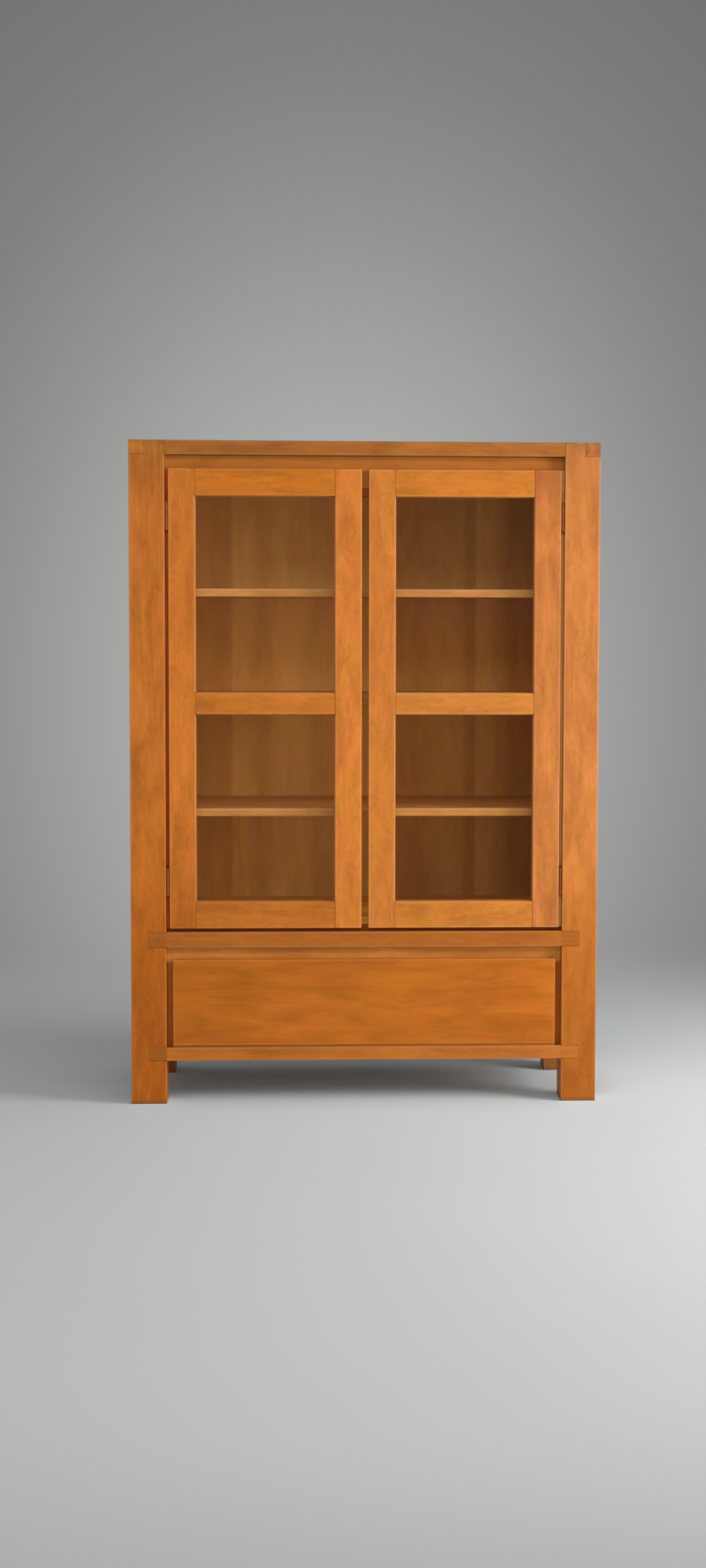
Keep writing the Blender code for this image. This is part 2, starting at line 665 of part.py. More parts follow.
def hinge_leaf(shop, name, side, face, toward, foot, knuckles, holder):
    """A leaf against one face of the gap, with a tab and a bored knuckle at each given height."""
    near = face + toward * CLEAR
    x0, x1 = spread(side, near, near + toward * LEAF_THICK)
    plate_front = AXIS_Y + BARREL_RADIUS + BARREL_CLEAR
    low = (x0, plate_front, foot)
    high = (x1, LEAF_REAR - LEAF_MARGIN, foot + HINGE_HEIGHT)
    leaf = shop.block(name, low, high, DARK_BRONZE, holder=holder)
    wall_middle = face + toward * (BARREL_CLEAR + KNUCKLE_WALL / 2)
    x0, x1 = spread(side, near + toward * TAB_INSET, wall_middle)
    for z0, z1 in knuckles:
        low = (x0, AXIS_Y + PIN_RADIUS / 2, z0 + TAB_INSET)
        shop.join(leaf, low, (x1, plate_front + LEAF_THICK, z1 - TAB_INSET))
        middle = (side * AXIS_X, AXIS_Y, (z0 + z1) / 2)
        shop.join_rod(leaf, middle, "z", BARREL_RADIUS, z1 - z0)
    middle = (side * AXIS_X, AXIS_Y, foot + HINGE_HEIGHT / 2)
    shop.drill(leaf, middle, "z", PIN_RADIUS + PIN_PLAY, HINGE_HEIGHT + 2 * OVERCUT)
    return leaf


def hinge_pin(shop, name, side, foot, top):
    """A hinge pin turned with a head at each end of the barrel."""
    z0 = foot - KNUCKLE_GAP
    z1 = top + KNUCKLE_GAP
    middle = (side * AXIS_X, AXIS_Y, (z0 + z1) / 2)
    half = (z1 - z0) / 2
    profile = (
        (0, half + PIN_HEAD_HEIGHT),
        (PIN_HEAD_RADIUS, half + PIN_HEAD_HEIGHT),
        (PIN_HEAD_RADIUS, half),
        (PIN_RADIUS, half),
        (PIN_RADIUS, -half),
        (PIN_HEAD_RADIUS, -half),
        (PIN_HEAD_RADIUS, -half - PIN_HEAD_HEIGHT),
        (0, -half - PIN_HEAD_HEIGHT),
    )
    shape = bmesh.new()
    points = [shape.verts.new((radius, 0, z)) for radius, z in profile]
    for start, end in zip(points, points[1:]):
        shape.edges.new((start, end))
    pin = shop.place(name, shape, middle, shop.parts)
    screw = pin.modifiers.new("turned", "SCREW")
    screw.steps = ROUND_SIDES
    screw.render_steps = ROUND_SIDES
    screw.use_merge_vertices = True
    screw.merge_threshold = MERGE
    return shop.finish_part(pin, DARK_BRONZE, None)


def magnetic_catch(shop):
    """The double catch under the header, behind both meeting stiles."""
    half = DOOR_INNER + STRIKE_INSET + STRIKE_WIDTH + CATCH_MARGIN
    front = LEAF_REAR + STRIKE_THICK + 2 * CLEAR
    top = HEADER_FOOT - CLEAR
    low = (-half, front, HEADER_FOOT - CATCH_HEIGHT)
    return shop.block("magnetic_catch", low, (half, front + CATCH_DEPTH, top), DARK_PLASTIC, eased="x")


def drawer(shop):
    """The drawer box, its front and the runners that its sides slide on."""
    outer = OPENING - DRAWER_SIDE_GAP
    inner = outer - DRAWER_SIDE_THICK
    box_front = LEAF_REAR + CLEAR
    box_rear = BACK_PANEL_FRONT - DRAWER_BACK_SPACE
    foot = DRAWER_FOOT + DRAWER_SIDE_LIFT
    top = DRAWER_TOP - DRAWER_STRIP_LAP - DRAWER_TOP_SPACE
    holder = shop.axis_empty("drawer_slide", (0, LEAF_FRONT, (foot + top) / 2))

    front = shop.block(
        "drawer_front",
        (-outer, LEAF_FRONT, DRAWER_FOOT),
        (outer, LEAF_REAR, DRAWER_TOP),
        eased="xyz",
        holder=holder,
    )
    bottom_z = foot + DRAWER_BOTTOM_RISE
    bottom_top = bottom_z + DRAWER_BOTTOM_THICK
    reach = inner + DRAWER_BOTTOM_GROOVE - CLEAR
    bottom_front = LEAF_REAR - DRAWER_BOTTOM_GROOVE + CLEAR
    groove_z = (bottom_z - CLEAR, bottom_top + CLEAR)
    shop.block(
        "drawer_bottom",
        (-reach, bottom_front, bottom_z),
        (reach, box_rear, bottom_top),
        DRAWER_BOX_WOOD,
        holder=holder,
    )
    groove_reach = reach + CLEAR
    low = (-groove_reach, LEAF_REAR - DRAWER_BOTTOM_GROOVE, groove_z[0])
    shop.cut(front, low, (groove_reach, LEAF_REAR + OVERCUT, groove_z[1]))

    low = (-inner + CLEAR, box_rear - DRAWER_SIDE_THICK, bottom_top + CLEAR)
    shop.block("drawer_back", low, (inner - CLEAR, box_rear, top), DRAWER_BOX_WOOD, "x", holder)

    runner_foot = (foot + top - RUNNER_HEIGHT) / 2
    runner_top = runner_foot + RUNNER_HEIGHT
    runner_z = (runner_foot - RUNNER_PLAY, runner_top + RUNNER_PLAY)
    for side in (-1, 1):
        x0, x1 = spread(side, inner, outer)
        name = f"drawer_side_{side_name(side)}"
        low = (x0, box_front, foot)
        board = shop.block(name, low, (x1, box_rear, top), DRAWER_BOX_WOOD, "y", holder)
        y0 = box_front - OVERCUT
        y1 = box_rear + OVERCUT
        x0, x1 = spread(side, inner - OVERCUT, inner + DRAWER_BOTTOM_GROOVE)
        shop.cut(board, (x0, y0, groove_z[0]), (x1, y1, groove_z[1]))
        x0, x1 = spread(side, outer - RUNNER_GROOVE, outer + OVERCUT)
        shop.cut(board, (x0, y0, runner_z[0]), (x1, y1, runner_z[1]))
        x0, x1 = spread(side, outer - RUNNER_GROOVE + RUNNER_PLAY, OPENING - CLEAR)
        low = (x0, box_front + RUNNER_FRONT_SPACE, runner_foot)
        high = (x1, BACK_PANEL_FRONT - CLEAR, runner_top)
        shop.block(f"drawer_runner_{side_name(side)}", low, high, DRAWER_BOX_WOOD, "y")


def main():
    clear_scene()
    shop = Workshop()
    carcass(shop)
    magnetic_catch(shop)
    for side in (-1, 1):
        door(shop, side)
    drawer(shop)


main()
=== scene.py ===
"""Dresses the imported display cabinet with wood, glass and hardware, on a pale studio floor.

Metres, in the CAD frame: +Z up, the front faces -Y, the floor is at Z = 0.
"""

import json
import math

import bmesh
import bpy
import numpy as np
from bpy.props import FloatProperty, FloatVectorProperty, PointerProperty
from mathutils import Euler, Matrix, Vector

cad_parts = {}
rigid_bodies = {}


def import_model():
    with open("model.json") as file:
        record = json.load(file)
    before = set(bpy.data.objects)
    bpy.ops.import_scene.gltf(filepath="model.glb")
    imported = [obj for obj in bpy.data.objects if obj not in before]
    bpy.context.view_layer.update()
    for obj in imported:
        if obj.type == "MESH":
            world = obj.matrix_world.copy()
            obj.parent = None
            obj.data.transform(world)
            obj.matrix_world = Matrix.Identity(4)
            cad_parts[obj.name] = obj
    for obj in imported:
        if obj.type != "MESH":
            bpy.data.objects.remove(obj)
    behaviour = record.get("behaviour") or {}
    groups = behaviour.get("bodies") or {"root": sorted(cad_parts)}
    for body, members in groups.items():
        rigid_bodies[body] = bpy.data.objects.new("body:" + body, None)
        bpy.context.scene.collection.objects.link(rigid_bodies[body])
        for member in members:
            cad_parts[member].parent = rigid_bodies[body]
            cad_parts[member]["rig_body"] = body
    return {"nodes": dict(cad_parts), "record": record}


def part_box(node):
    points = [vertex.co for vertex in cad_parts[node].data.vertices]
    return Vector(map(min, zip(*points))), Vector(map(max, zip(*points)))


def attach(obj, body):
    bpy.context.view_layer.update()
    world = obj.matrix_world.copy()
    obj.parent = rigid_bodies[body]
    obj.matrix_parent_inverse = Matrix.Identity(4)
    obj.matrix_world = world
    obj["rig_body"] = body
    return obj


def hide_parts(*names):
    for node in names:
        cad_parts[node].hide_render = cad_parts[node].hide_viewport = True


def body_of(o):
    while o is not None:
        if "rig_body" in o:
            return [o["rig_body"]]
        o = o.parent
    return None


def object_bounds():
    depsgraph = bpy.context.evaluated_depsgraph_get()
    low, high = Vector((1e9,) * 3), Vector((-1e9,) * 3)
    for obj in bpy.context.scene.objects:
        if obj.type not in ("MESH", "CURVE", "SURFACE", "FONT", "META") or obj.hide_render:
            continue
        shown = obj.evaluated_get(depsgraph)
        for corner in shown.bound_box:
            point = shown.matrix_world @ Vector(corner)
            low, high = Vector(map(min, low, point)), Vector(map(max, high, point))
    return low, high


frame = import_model()
CAD_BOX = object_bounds()

bl_info = {
    "name": "Display cabinet dressing",
    "version": (1, 0, 0),
    "blender": (4, 5, 0),
    "location": "3D View > Sidebar > Cabinet",
    "description": "Wood, glass, hardware and studio for a packed display cabinet",
    "category": "Object",
}

SIDES = ((-1, "left"), (1, "right"))
LEVELS = ("upper", "lower")
MERGE = 1e-7

# Which tone each family of wooden pieces takes, by the start of the node's name.
WOOD_FAMILIES = (
    ("post_", "posts"),
    ("top_rail", "top_rails"),
    ("middle_rail", "front_rails"),
    ("bottom_rail", "front_rails"),
    ("door_header", "strips"),
    ("drawer_header", "strips"),
    ("floor_sill", "strips"),
    ("door_left", "door_frames"),
    ("door_right", "door_frames"),
    ("drawer_front", "drawer_front"),
    ("shelf", "shelves"),
    ("cabinet_floor", "shelves"),
    ("back_panel", "back"),
)

# How single boards differ in red, green and blue from the others of their family: partly their own tone and
# partly painted light and shade. The paler, bluer tints at the right paint the key light's sheen, and the
# lighter shelves and cabinet floor paint light in the display space.
BOARD_TONE_AND_LIGHT_TINTS = {
    "post_front_left": (0.95, 0.93, 0.88),
    "post_front_right": (0.96, 1.08, 1.70),
    "top_rail_left": (1.14, 1.21, 1.12),
    "top_rail_right": (0.96, 1.09, 1.80),
    "top_rail_front": (0.94, 1.05, 1.20),
    "door_left_hinge_stile": (1.04, 1.02, 0.95),
    "door_left_meeting_stile": (1.08, 1.12, 1.20),
    "door_right_meeting_stile": (1.02, 1.08, 1.20),
    "door_right_hinge_stile": (0.93, 1.01, 1.62),
    "door_left_top_rail": (0.91, 0.88, 0.54),
    "door_left_middle_rail": (0.97, 0.99, 0.90),
    "door_left_bottom_rail": (0.83, 0.82, 0.70),
    "door_right_top_rail": (0.99, 1.05, 0.87),
    "door_right_middle_rail": (1.01, 1.18, 1.38),
    "door_right_bottom_rail": (0.99, 1.10, 1.12),
    "drawer_front": (0.94, 0.86, 0.49),
    "drawer_header": (1.42, 1.60, 2.05),
    "door_header": (1.05, 1.11, 1.09),
    "middle_rail": (0.94, 0.92, 0.87),
    "floor_sill": (0.75, 0.50, 0.40),
    "cabinet_floor": (1.20, 1.55, 1.60),
    "shelf_lower": (1.03, 1.33, 2.25),
    "shelf_middle": (1.03, 1.33, 2.25),
    "shelf_upper": (1.03, 1.33, 2.25),
}

# Ends of the lapped rails that show darker wood: the tone at the left and at the right end.
LAP_TONES = {"bottom_rail_front": (-0.80, -0.12), "middle_rail": (-0.12, -0.24)}

# Boards of the back panel from left to right: tone, where it ends, and how far the next one fades in. The
# tones are partly the boards' own and partly painted light and shade: the light that falls through the panes
# and the shadows of the stiles and posts on the back.
BACK_BOARDS_AND_LIGHT = (
    (0.20, -0.353, 0.009),
    (0.60, -0.297, 0.022),
    (0.46, -0.237, 0.035),
    (0.96, -0.142, 0.030),
    (0.76, 0.048, 0.050),
    (0.28, 0.196, 0.045),
    (0.54, 0.288, 0.012),
    (0.20, 0.319, 0.004),
    (0.62, 0.370, 0.016),
    (0.38, 0.402, 0.028),
    (0.06, 0.600, 0.010),
)

# Tints of the back's most shaded and most lit boards, which paint shade and light on it, and the tint that
# brings its outer face back to plain wood.
BACK_SHADE_AND_LIGHT_TINTS = ((0.78, 0.68, 0.58), (1.27, 1.49, 1.72))
BACK_OUTSIDE = (0.78, 0.54, 0.36)

# Painted shade along the height: the start of the node's name, the end of the cabinet they are
# measured from, the distances where they begin to fade and are gone, and the tint. Most rows darken
# a piece towards its foot or head, where less light reaches it; the thin bands at the very foot of
# the posts paint their contact shadow on the floor, and the thin bands at the very head make the
# top edges darker and greyer.
HEIGHT_SHADE_TINTS = (
    ("post_", "foot", (0.001, 0.014), (0.55, 0.70, 1.50)),
    ("post_", "head", (0.001, 0.013), (0.72, 0.92, 1.40)),
    ("top_rail", "head", (0.001, 0.007), (0.86, 0.97, 1.40)),
    ("post_front_left", "head", (0.02, 0.22), (0.80, 0.87, 0.90)),
    ("post_front_left", "foot", (0.25, 1.00), (0.82, 0.72, 0.36)),
    ("post_front_right", "head", (0.05, 0.36), (0.86, 0.86, 0.90)),
    ("post_front_right", "foot", (0.25, 0.85), (0.82, 0.70, 0.34)),
    ("post_rear_left", "foot", (0.08, 0.20), (0.72, 0.56, 0.50)),
    ("post_rear_right", "foot", (0.08, 0.20), (0.62, 0.72, 1.05)),
    ("door_left_hinge_stile", "foot", (0.35, 0.85), (0.74, 0.66, 0.54)),
    ("door_right_hinge_stile", "head", (0.09, 0.22), (0.80, 0.75, 0.75)),
    ("back_panel", "foot", (0.10, 0.90), (0.62, 0.60, 0.58)),
)

# Painted shade: how much darker the feet of posts are than the rest, where less light reaches them
# near the floor, by the start of the node's name, and the heights between which that fades.
FOOT_SHADE_TONES = (("post_front_left", 0.10), ("post_front_right", 0.45), ("post_", 0.30))
FOOT_SHADE_RISE = (0.02, 0.16)

# How strong clouds and flames are, and how strong curls are, by the start of the node's name.
FIGURE_SHARES = (
    ("back_panel", (0.75, 0.80)),
    ("door_header", (0.70, 0.60)),
    ("door_", (1.05, 1.50)),
    ("post_", (1.10, 1.40)),
    ("drawer_front", (1.10, 0.70)),
    ("top_rail", (1.60, 1.00)),
)

# Boards that face the display space, by the start of the node's name.
INNER_BOARDS = ("back_panel", "shelf", "cabinet_floor", "top_panel")

# Width of the glued staves of the other wide boards, by the start of the node's name.
STAVE_WIDTHS = (
    ("shelf", 0.14),
    ("cabinet_floor", 0.14),
    ("top_panel", 0.13),
    ("side_panel", 0.17),
    ("drawer_bottom", 0.21),
)

# Parts of the wood's figure: clouds a metre along and across the grain, the noise's detail and curl.
FIGURES = {
    "fibre": (7.0, 380.0, 3.0, 0.0),
    "pore": (45.0, 1100.0, 1.0, 0.0),
    "wander": (1.1, 5.0, 2.0, 0.0),
    "cloud": (2.4, 9.0, 2.0, 0.0),
    "flame": (6.0, 25.0, 1.0, 0.9),
    "curl": (22.0, 46.0, 1.0, 1.8),
    "patch": (8.0, 30.0, 1.0, 0.0),
}
FIGURE_SHIFT = 40.0
NOISE_ROUGHNESS = 0.55
FINE_DETAIL = 3.0
PORE_STEP = (0.62, 0.74)
PATCH_STEP = (0.35, 0.65)
PITH_REACH = (0.05, 0.11)
RING_WANDER = 0.035

# Joints of the boards: widths in metres, and tones of staves and the seams between them.
JOINT_FADE = 0.0015
JOINT_LINE = 0.0022
GLUE_REACH = 0.003
END_DEPTH = 0.0004
STAVE_JOINT = 0.0012
STAVE_SWING = 0.10
STAVE_SEAM = -0.25

# The wood's surface: what fibres and pores add to its roughness, and its relief.
FIBRE_ROUGHNESS = 0.10
PORE_ROUGHNESS = 0.15
PORE_RELIEF = -0.6
RING_RELIEF = -0.25
WOOD_BUMP = (0.35, 0.0004)
WOOD_SPECULAR = 0.14

# Metal, plastic and felt: roughness, share of metal, and streaks or grains a metre along X, Y and Z.
FINISHES = {
    "hinge_bronze": (0.60, 0.3, (60.0, 60.0, 900.0)),
    "strike_steel": (0.36, 1.0, (60.0, 900.0, 900.0)),
    "sleeve_steel": (0.30, 1.0, (60.0, 900.0, 900.0)),
    "catch_plastic": (0.50, 0.0, (700.0, 700.0, 700.0)),
    "bumper_felt": (0.85, 0.0, (1500.0, 1500.0, 1500.0)),
    "glazing_seal": (0.65, 0.0, (60.0, 60.0, 900.0)),
}

# Blotches a metre on all of these, and what blotches and streaks change.
BLOTCHES = (140.0, 140.0, 140.0)
BLOTCH_SHARE = 0.6
STREAK_TINTS = (0.72, 1.25)
STREAK_ROUGHNESS = 0.2
STREAK_BUMP = (0.2, 0.0001)
STREAK_SPECULAR = 0.1

# Glass: its refraction, and its faint smears.
GLASS_IOR = 1.14
SMEARS = (3.0, 3.0, 2.0)
SMEAR_STEP = (0.45, 0.75)
SMEAR_ROUGHNESS = 0.05

# First seeds of the woods that are not boards of the cabinet.
DRAWER_BOX_SEED = 200
DOWEL_SEED = 300
BEAD_SEED = 400
DRAWER_STRIP_SEED = 500
REST_STRIP_SEED = 505
DOOR_STRIP_SEED = 510

# Dowels of the drawer box: profile in radii and rises, places from the ends of a drawer side.
DOWEL_PROFILE = ((0, -1), (1, -1), (1, 0.4), (0.8, 1), (0, 1.1))
DOWEL_RISE = 0.08
DOWEL_SIDES = 20
DOWEL_LENGTH = 0.04
DOWEL_FROM_FRONT = 0.012
DOWEL_FROM_BACK = 0.008
DOWEL_FROM_EDGE = 0.03

# Seals and beads round the panes: small overlaps and gaps, and the steps of their curves.
SEAL_SINK = 0.0002
SEAL_STEPS = 5
BEAD_GAP = 0.0001
BEAD_SHARE = 0.9
BEAD_STEPS = 7

# Strips in the gaps: clearances, and the rounding of their edges.
STRIP_GAP = 0.0003
STRIP_ROUND = 0.001
STRIP_STEPS = 3
HINGE_CLEARANCE = 0.002

# Screws: sides and rings of a head, and the cross in shares of its radius and rise, with its powers.
SCREW_SIDES = 32
SCREW_RINGS = 9
CROSS_WIDTH = 0.13
CROSS_STEEPNESS = 4
CROSS_REACH = 0.62
CROSS_FADE = 8
CROSS_DEPTH = 1.6
FLAT_SCREW_RISE = 0.0001
HINGE_SCREW_INSET = 0.0055
HINGE_SCREW_SPREAD = 0.31
LEAF_EDGE = 0.0005

# The catch: its rounding, and the height, place and size of its poles.
CATCH_ROUND = 0.0018
CATCH_STEPS = 4
POLE_OFFSETS = (-0.0045, 0.0045)
POLE_HALF = 0.0015
POLE_MARGIN = 0.001
POLE_PROUD = 0.0001
POLE_DEPTH = 0.004
POLE_ROUND = 0.0004
POLE_STEPS = 2

# Bumpers: their form, and how far they sit from the edges of doors and drawer front.
BUMPER_SIDES = 24
BUMPER_STEPS = 6
BUMPER_CROWN = 0.7
BUMPER_SINK = 0.0002
DOOR_BUMPER_DROP = 0.024
DOOR_BUMPER_INSET = 0.03
DRAWER_BUMPER_DROP = 0.005
DRAWER_BUMPER_INSET = 0.06

# Sleeves of the shelf pins: round end and collar in radii, the collar's slope, and the shelf above.
SLEEVE_SIDES = 24
SLEEVE_ROUND = 0.3
SLEEVE_COLLAR = 1.45
SLEEVE_GAP = 0.0001
COLLAR_SLOPE = (0.0012, 0.0010)
SHELF_THICK = 0.020
PIN_SINK = 0.0004
ROW_DIGITS = 4

# The floor: a disc, the middle and reach of the part that is lit, and the shade under the key softbox.
FLOOR_RADIUS = 400
FLOOR_START = 0.02
FLOOR_RINGS = 24
FLOOR_SIDES = 64
FLOOR_OFFSET = (0, 0.9, 0)
FLOOR_FADE = (1.7, 4.0)
FLOOR_CLOUDS = (1.5, 1.5, 1.5)
FLOOR_SWING = 0.015
FLOOR_ROUGHNESS = 0.9
FLOOR_SPECULAR = 0.1
KEY_SHADE_REACH = (0.9, 2.4)
KEY_SHADE = 0.4

# Softboxes: place, target, and width and height.
KEY_SOFTBOX = ((3.4, -1.5, 1.55), (0, -0.1, 0.7), (1.7, 1.7))
FRONT_SOFTBOX = ((0.2, -4.6, 3.6), (0, 0, 0.9), (7.0, 1.2))

# The glow on the backdrop: the direction of its middle, and how fast it fades sideways and upwards.
GLOW_WAY = (0.0196, 0.0, -0.0336)
GLOW_SPREAD = (6.34, 0.0, 4.62)

# The camera: the frame's longer side in pixels, and the sensor in millimetres.
FRAME_SIDE = 2048
SENSOR = 36.0


def colour_property(name, description, default, most=1.0):
    """A colour whose parts go up to most."""
    return FloatVectorProperty(
        name=name, description=description, default=default, subtype="COLOR", size=3, min=0.0, max=most
    )


def tint_property(name, piece_words, default):
    """A tint of a wooden piece, as a share of the wood's colour."""
    return colour_property(name, f"Colour of {piece_words}, as a share of the wood's", default, 2.0)


def share_property(name, description, default):
    """A share from 0 to 1."""
    return FloatProperty(
        name=name, description=description, default=default, subtype="FACTOR", min=0.0, max=1.0
    )


def length_property(name, description, default, least):
    """A length that is never under least."""
    return FloatProperty(name=name, description=description, default=default, unit="LENGTH", min=least)


def tone_property(name, description, default=1.0):
    """A tone, which is 1 for plain wood."""
    return FloatProperty(name=name, description=description, default=default, min=0.3, max=1.6)


def angle_property(name, description, degrees):
    """An angle, whose default is given in degrees."""
    return FloatProperty(name=name, description=description, default=math.radians(degrees), subtype="ANGLE")


def power_property(name, description, default):
    """The power of a lamp."""
    return FloatProperty(name=name, description=description, default=default, unit="POWER", min=0.0)


class CabinetWood(bpy.types.PropertyGroup):
    """Colour and figure of the wood."""

    light: colour_property("Light wood", "Colour of the early wood and the flecks", (0.787, 0.243, 0.0355))
    dark: colour_property("Dark wood", "Colour of the late wood and the pores", (0.513, 0.146, 0.0187))
    # Painted light: the back panel's colours are lighter than the other wood, standing in for light in the
    # display space; its outer face is tinted back to plain wood.
    back_light: colour_property("Light back", "Early wood of the back panel", (0.95, 0.430, 0.095))
    back_dark: colour_property("Dark back", "Late wood of the back panel", (0.72, 0.295, 0.055))
    drawer_light: colour_property("Light drawer wood", "Early wood of the drawer box", (0.66, 0.42, 0.20))
    drawer_dark: colour_property("Dark drawer wood", "Late wood of the drawer box", (0.46, 0.25, 0.10))
    ring_spacing: length_property("Ring spacing", "Distance between growth rings", 0.0075, 0.001)
    ring_strength: share_property("Ring strength", "Contrast of the growth rings", 0.05)
    fibre_strength: share_property("Fibre strength", "Contrast of the fine fibres", 0.09)
    cloud_strength: share_property("Cloud strength", "Contrast of the broad clouds", 0.40)
    flame_strength: share_property("Flame strength", "Contrast of the flame figure", 0.64)
    curl_strength: share_property("Curl strength", "Contrast of the small curls", 0.26)
    pore_strength: share_property("Pore strength", "Darkness of the pores", 0.14)
    end_darkness: share_property("End darkness", "How much darker end grain is", 0.08)
    rosy: colour_property("Rosy patches", "Tint of the rosy patches", (1.012, 0.978, 1.08), 2.0)
    golden: colour_property("Golden patches", "Tint of the golden patches", (0.988, 1.022, 0.91), 2.0)
    joint_darkness: share_property("Joint darkness", "Darkness of the lines where boards are glued", 0.36)
    # The paler band along the edges is partly wear and partly a painted sheen, where eased edges catch the
    # light.
    edge_width: length_property("Edge width", "Width of the rubbed band along the edges", 0.007, 0.0005)
    edge_wear_and_sheen: share_property("Edge wear", "How much of the finish is rubbed off the edges", 0.55)
    rubbed: colour_property("Rubbed tint", "Light wood's change where it is rubbed", (0.95, 1.15, 2.2), 5.0)
    bounce: colour_property("Bounced light", "Wood as other pieces and the floor see it", (0.56, 0.48, 0.42))
    inner_bounce: colour_property(
        "Inner bounce", "Boards of the display space as they see each other", (0.85, 0.58, 0.39)
    )
    roughness: share_property("Roughness", "Roughness of the oiled surface", 0.46)


class CabinetTones(bpy.types.PropertyGroup):
    """How light each family of pieces is beside the plain wood."""

    posts: tone_property("Posts", "Tone of the corner posts")
    top_rails: tone_property("Top rails", "Tone of the four top rails", 0.68)
    front_rails: tone_property("Front rails", "Tone of the middle and base rails", 0.78)
    strips: tone_property("Strips", "Tone of the recessed strips", 0.76)
    door_frames: tone_property("Door frames", "Tone of stiles and rails of the doors")
    drawer_front: tone_property("Drawer front", "Tone of the drawer front", 0.87)
    shelves: tone_property("Shelves", "Tone of shelves and cabinet floor")
    back: tone_property("Back", "Tone of the back panel")
    others: tone_property("Others", "Tone of the other panels")


class CabinetFittings(bpy.types.PropertyGroup):
    """Sizes and colours of glass, strips and hardware."""

    glass_tint: colour_property("Glass tint", "Colour of the glass", (0.97, 0.985, 0.98))
    door_strip: length_property("Door strip", "Width of the strip behind a door's hinge edge", 0.012, 0.002)
    lip_depth: length_property("Lip depth", "Reach of a strip's lip into the gap beside a door", 0.010, 0.001)
    lip_clearance: length_property("Lip clearance", "Gap between a strip's lip and the door", 0.0008, 0.0003)
    # Painted shade and light in the gaps beside the doors: the left strip's dark red tint paints the shade in
    # the left gap, the right strip's lighter tint paints a lit wall in the right gap.
    left_strip_tint: tint_property("Left strip tint", "the strip beside the left door", (0.80, 0.34, 0.25))
    right_strip_tint: tint_property("Right strip tint", "the strip beside the right door", (1.25, 1.55, 1.60))
    drawer_strip_tint: tint_property("Drawer strip tint", "the strips beside the drawer", (0.78, 0.58, 0.40))
    drawer_strip: length_property("Drawer strip", "Width of the strip beside the drawer", 0.0155, 0.002)
    rest_back: length_property("Rest setback", "Setback of the strip under the drawer", 0.003, 0)
    rest_clearance: length_property("Rest clearance", "Gap between drawer and strip under it", 0.0013, 0.0003)
    rest_tint: tint_property("Rest tint", "the strip under the drawer", (0.75, 0.62, 0.50))
    seal_width: length_property("Seal width", "Width of the sealing line in front of a pane", 0.0007, 0.0004)
    bead_width: length_property("Bead width", "Width of the wooden bead behind a pane", 0.002, 0.001)
    seal_colour: colour_property("Seal colour", "Colour of the sealing line", (0.50, 0.17, 0.04))
    felt_colour: colour_property("Felt colour", "Colour of the bumpers", (0.16, 0.06, 0.02))
    screw_radius: length_property("Screw radius", "Radius of a screw head", 0.0026, 0.001)
    screw_rise: length_property("Screw rise", "How far a screw head stands proud", 0.0004, 0.00005)
    bronze: colour_property("Bronze", "Colour of hinges", (0.34, 0.085, 0.022))
    steel: colour_property("Steel", "Colour of strikes and shelf sleeves", (0.56, 0.55, 0.53))
    plastic: colour_property("Plastic", "Colour of the catch", (0.42, 0.085, 0.015))
    bumper_radius: length_property("Bumper radius", "Radius of a soft bumper", 0.0035, 0.001)
    bumper_rise: length_property("Bumper rise", "Thickness of a soft bumper", 0.0008, 0.0002)
    sleeve_wall: length_property("Sleeve wall", "Wall of a shelf pin's sleeve", 0.0001, 0.00005)
    plug_radius: length_property("Plug radius", "Radius of a drawer dowel", 0.004, 0.001)


class CabinetStudio(bpy.types.PropertyGroup):
    """Camera, lights and floor."""

    eye: FloatVectorProperty(
        name="Eye",
        description="Place of the camera",
        default=(-0.176, -6.1267, 1.2479),
        subtype="XYZ",
        unit="LENGTH",
        size=3,
    )
    yaw: angle_property("Yaw", "Turn of the camera to the right", 2.899)
    tilt: angle_property("Tilt", "Tilt of the camera downwards", 4.090)
    roll: angle_property("Roll", "Roll of the camera", 0.173)
    focal: FloatProperty(
        name="Focal length", description="Focal length in pixels of the whole frame", default=3000, min=100
    )
    lens_shift: FloatProperty(
        name="Lens shift", description="Sideways shift as a share of the frame's height", default=-0.0379
    )
    key_power: power_property("Key power", "Power of the softbox at the right", 125)
    front_power: power_property("Front power", "Power of the wide softbox above the camera", 52)
    floor_colour: colour_property("Floor", "Colour of the studio floor", (0.705, 0.718, 0.727))
    glow: colour_property("Glow", "Backdrop right behind the cabinet", (0.485, 0.485, 0.481))
    backdrop: colour_property("Backdrop", "Backdrop far from the glow", (0.15, 0.15, 0.15))
    room: colour_property("Room", "Even light of the room", (0.34, 0.34, 0.34))
    lean: share_property("Lean", "How much more light comes from the front than from behind", 0.75)


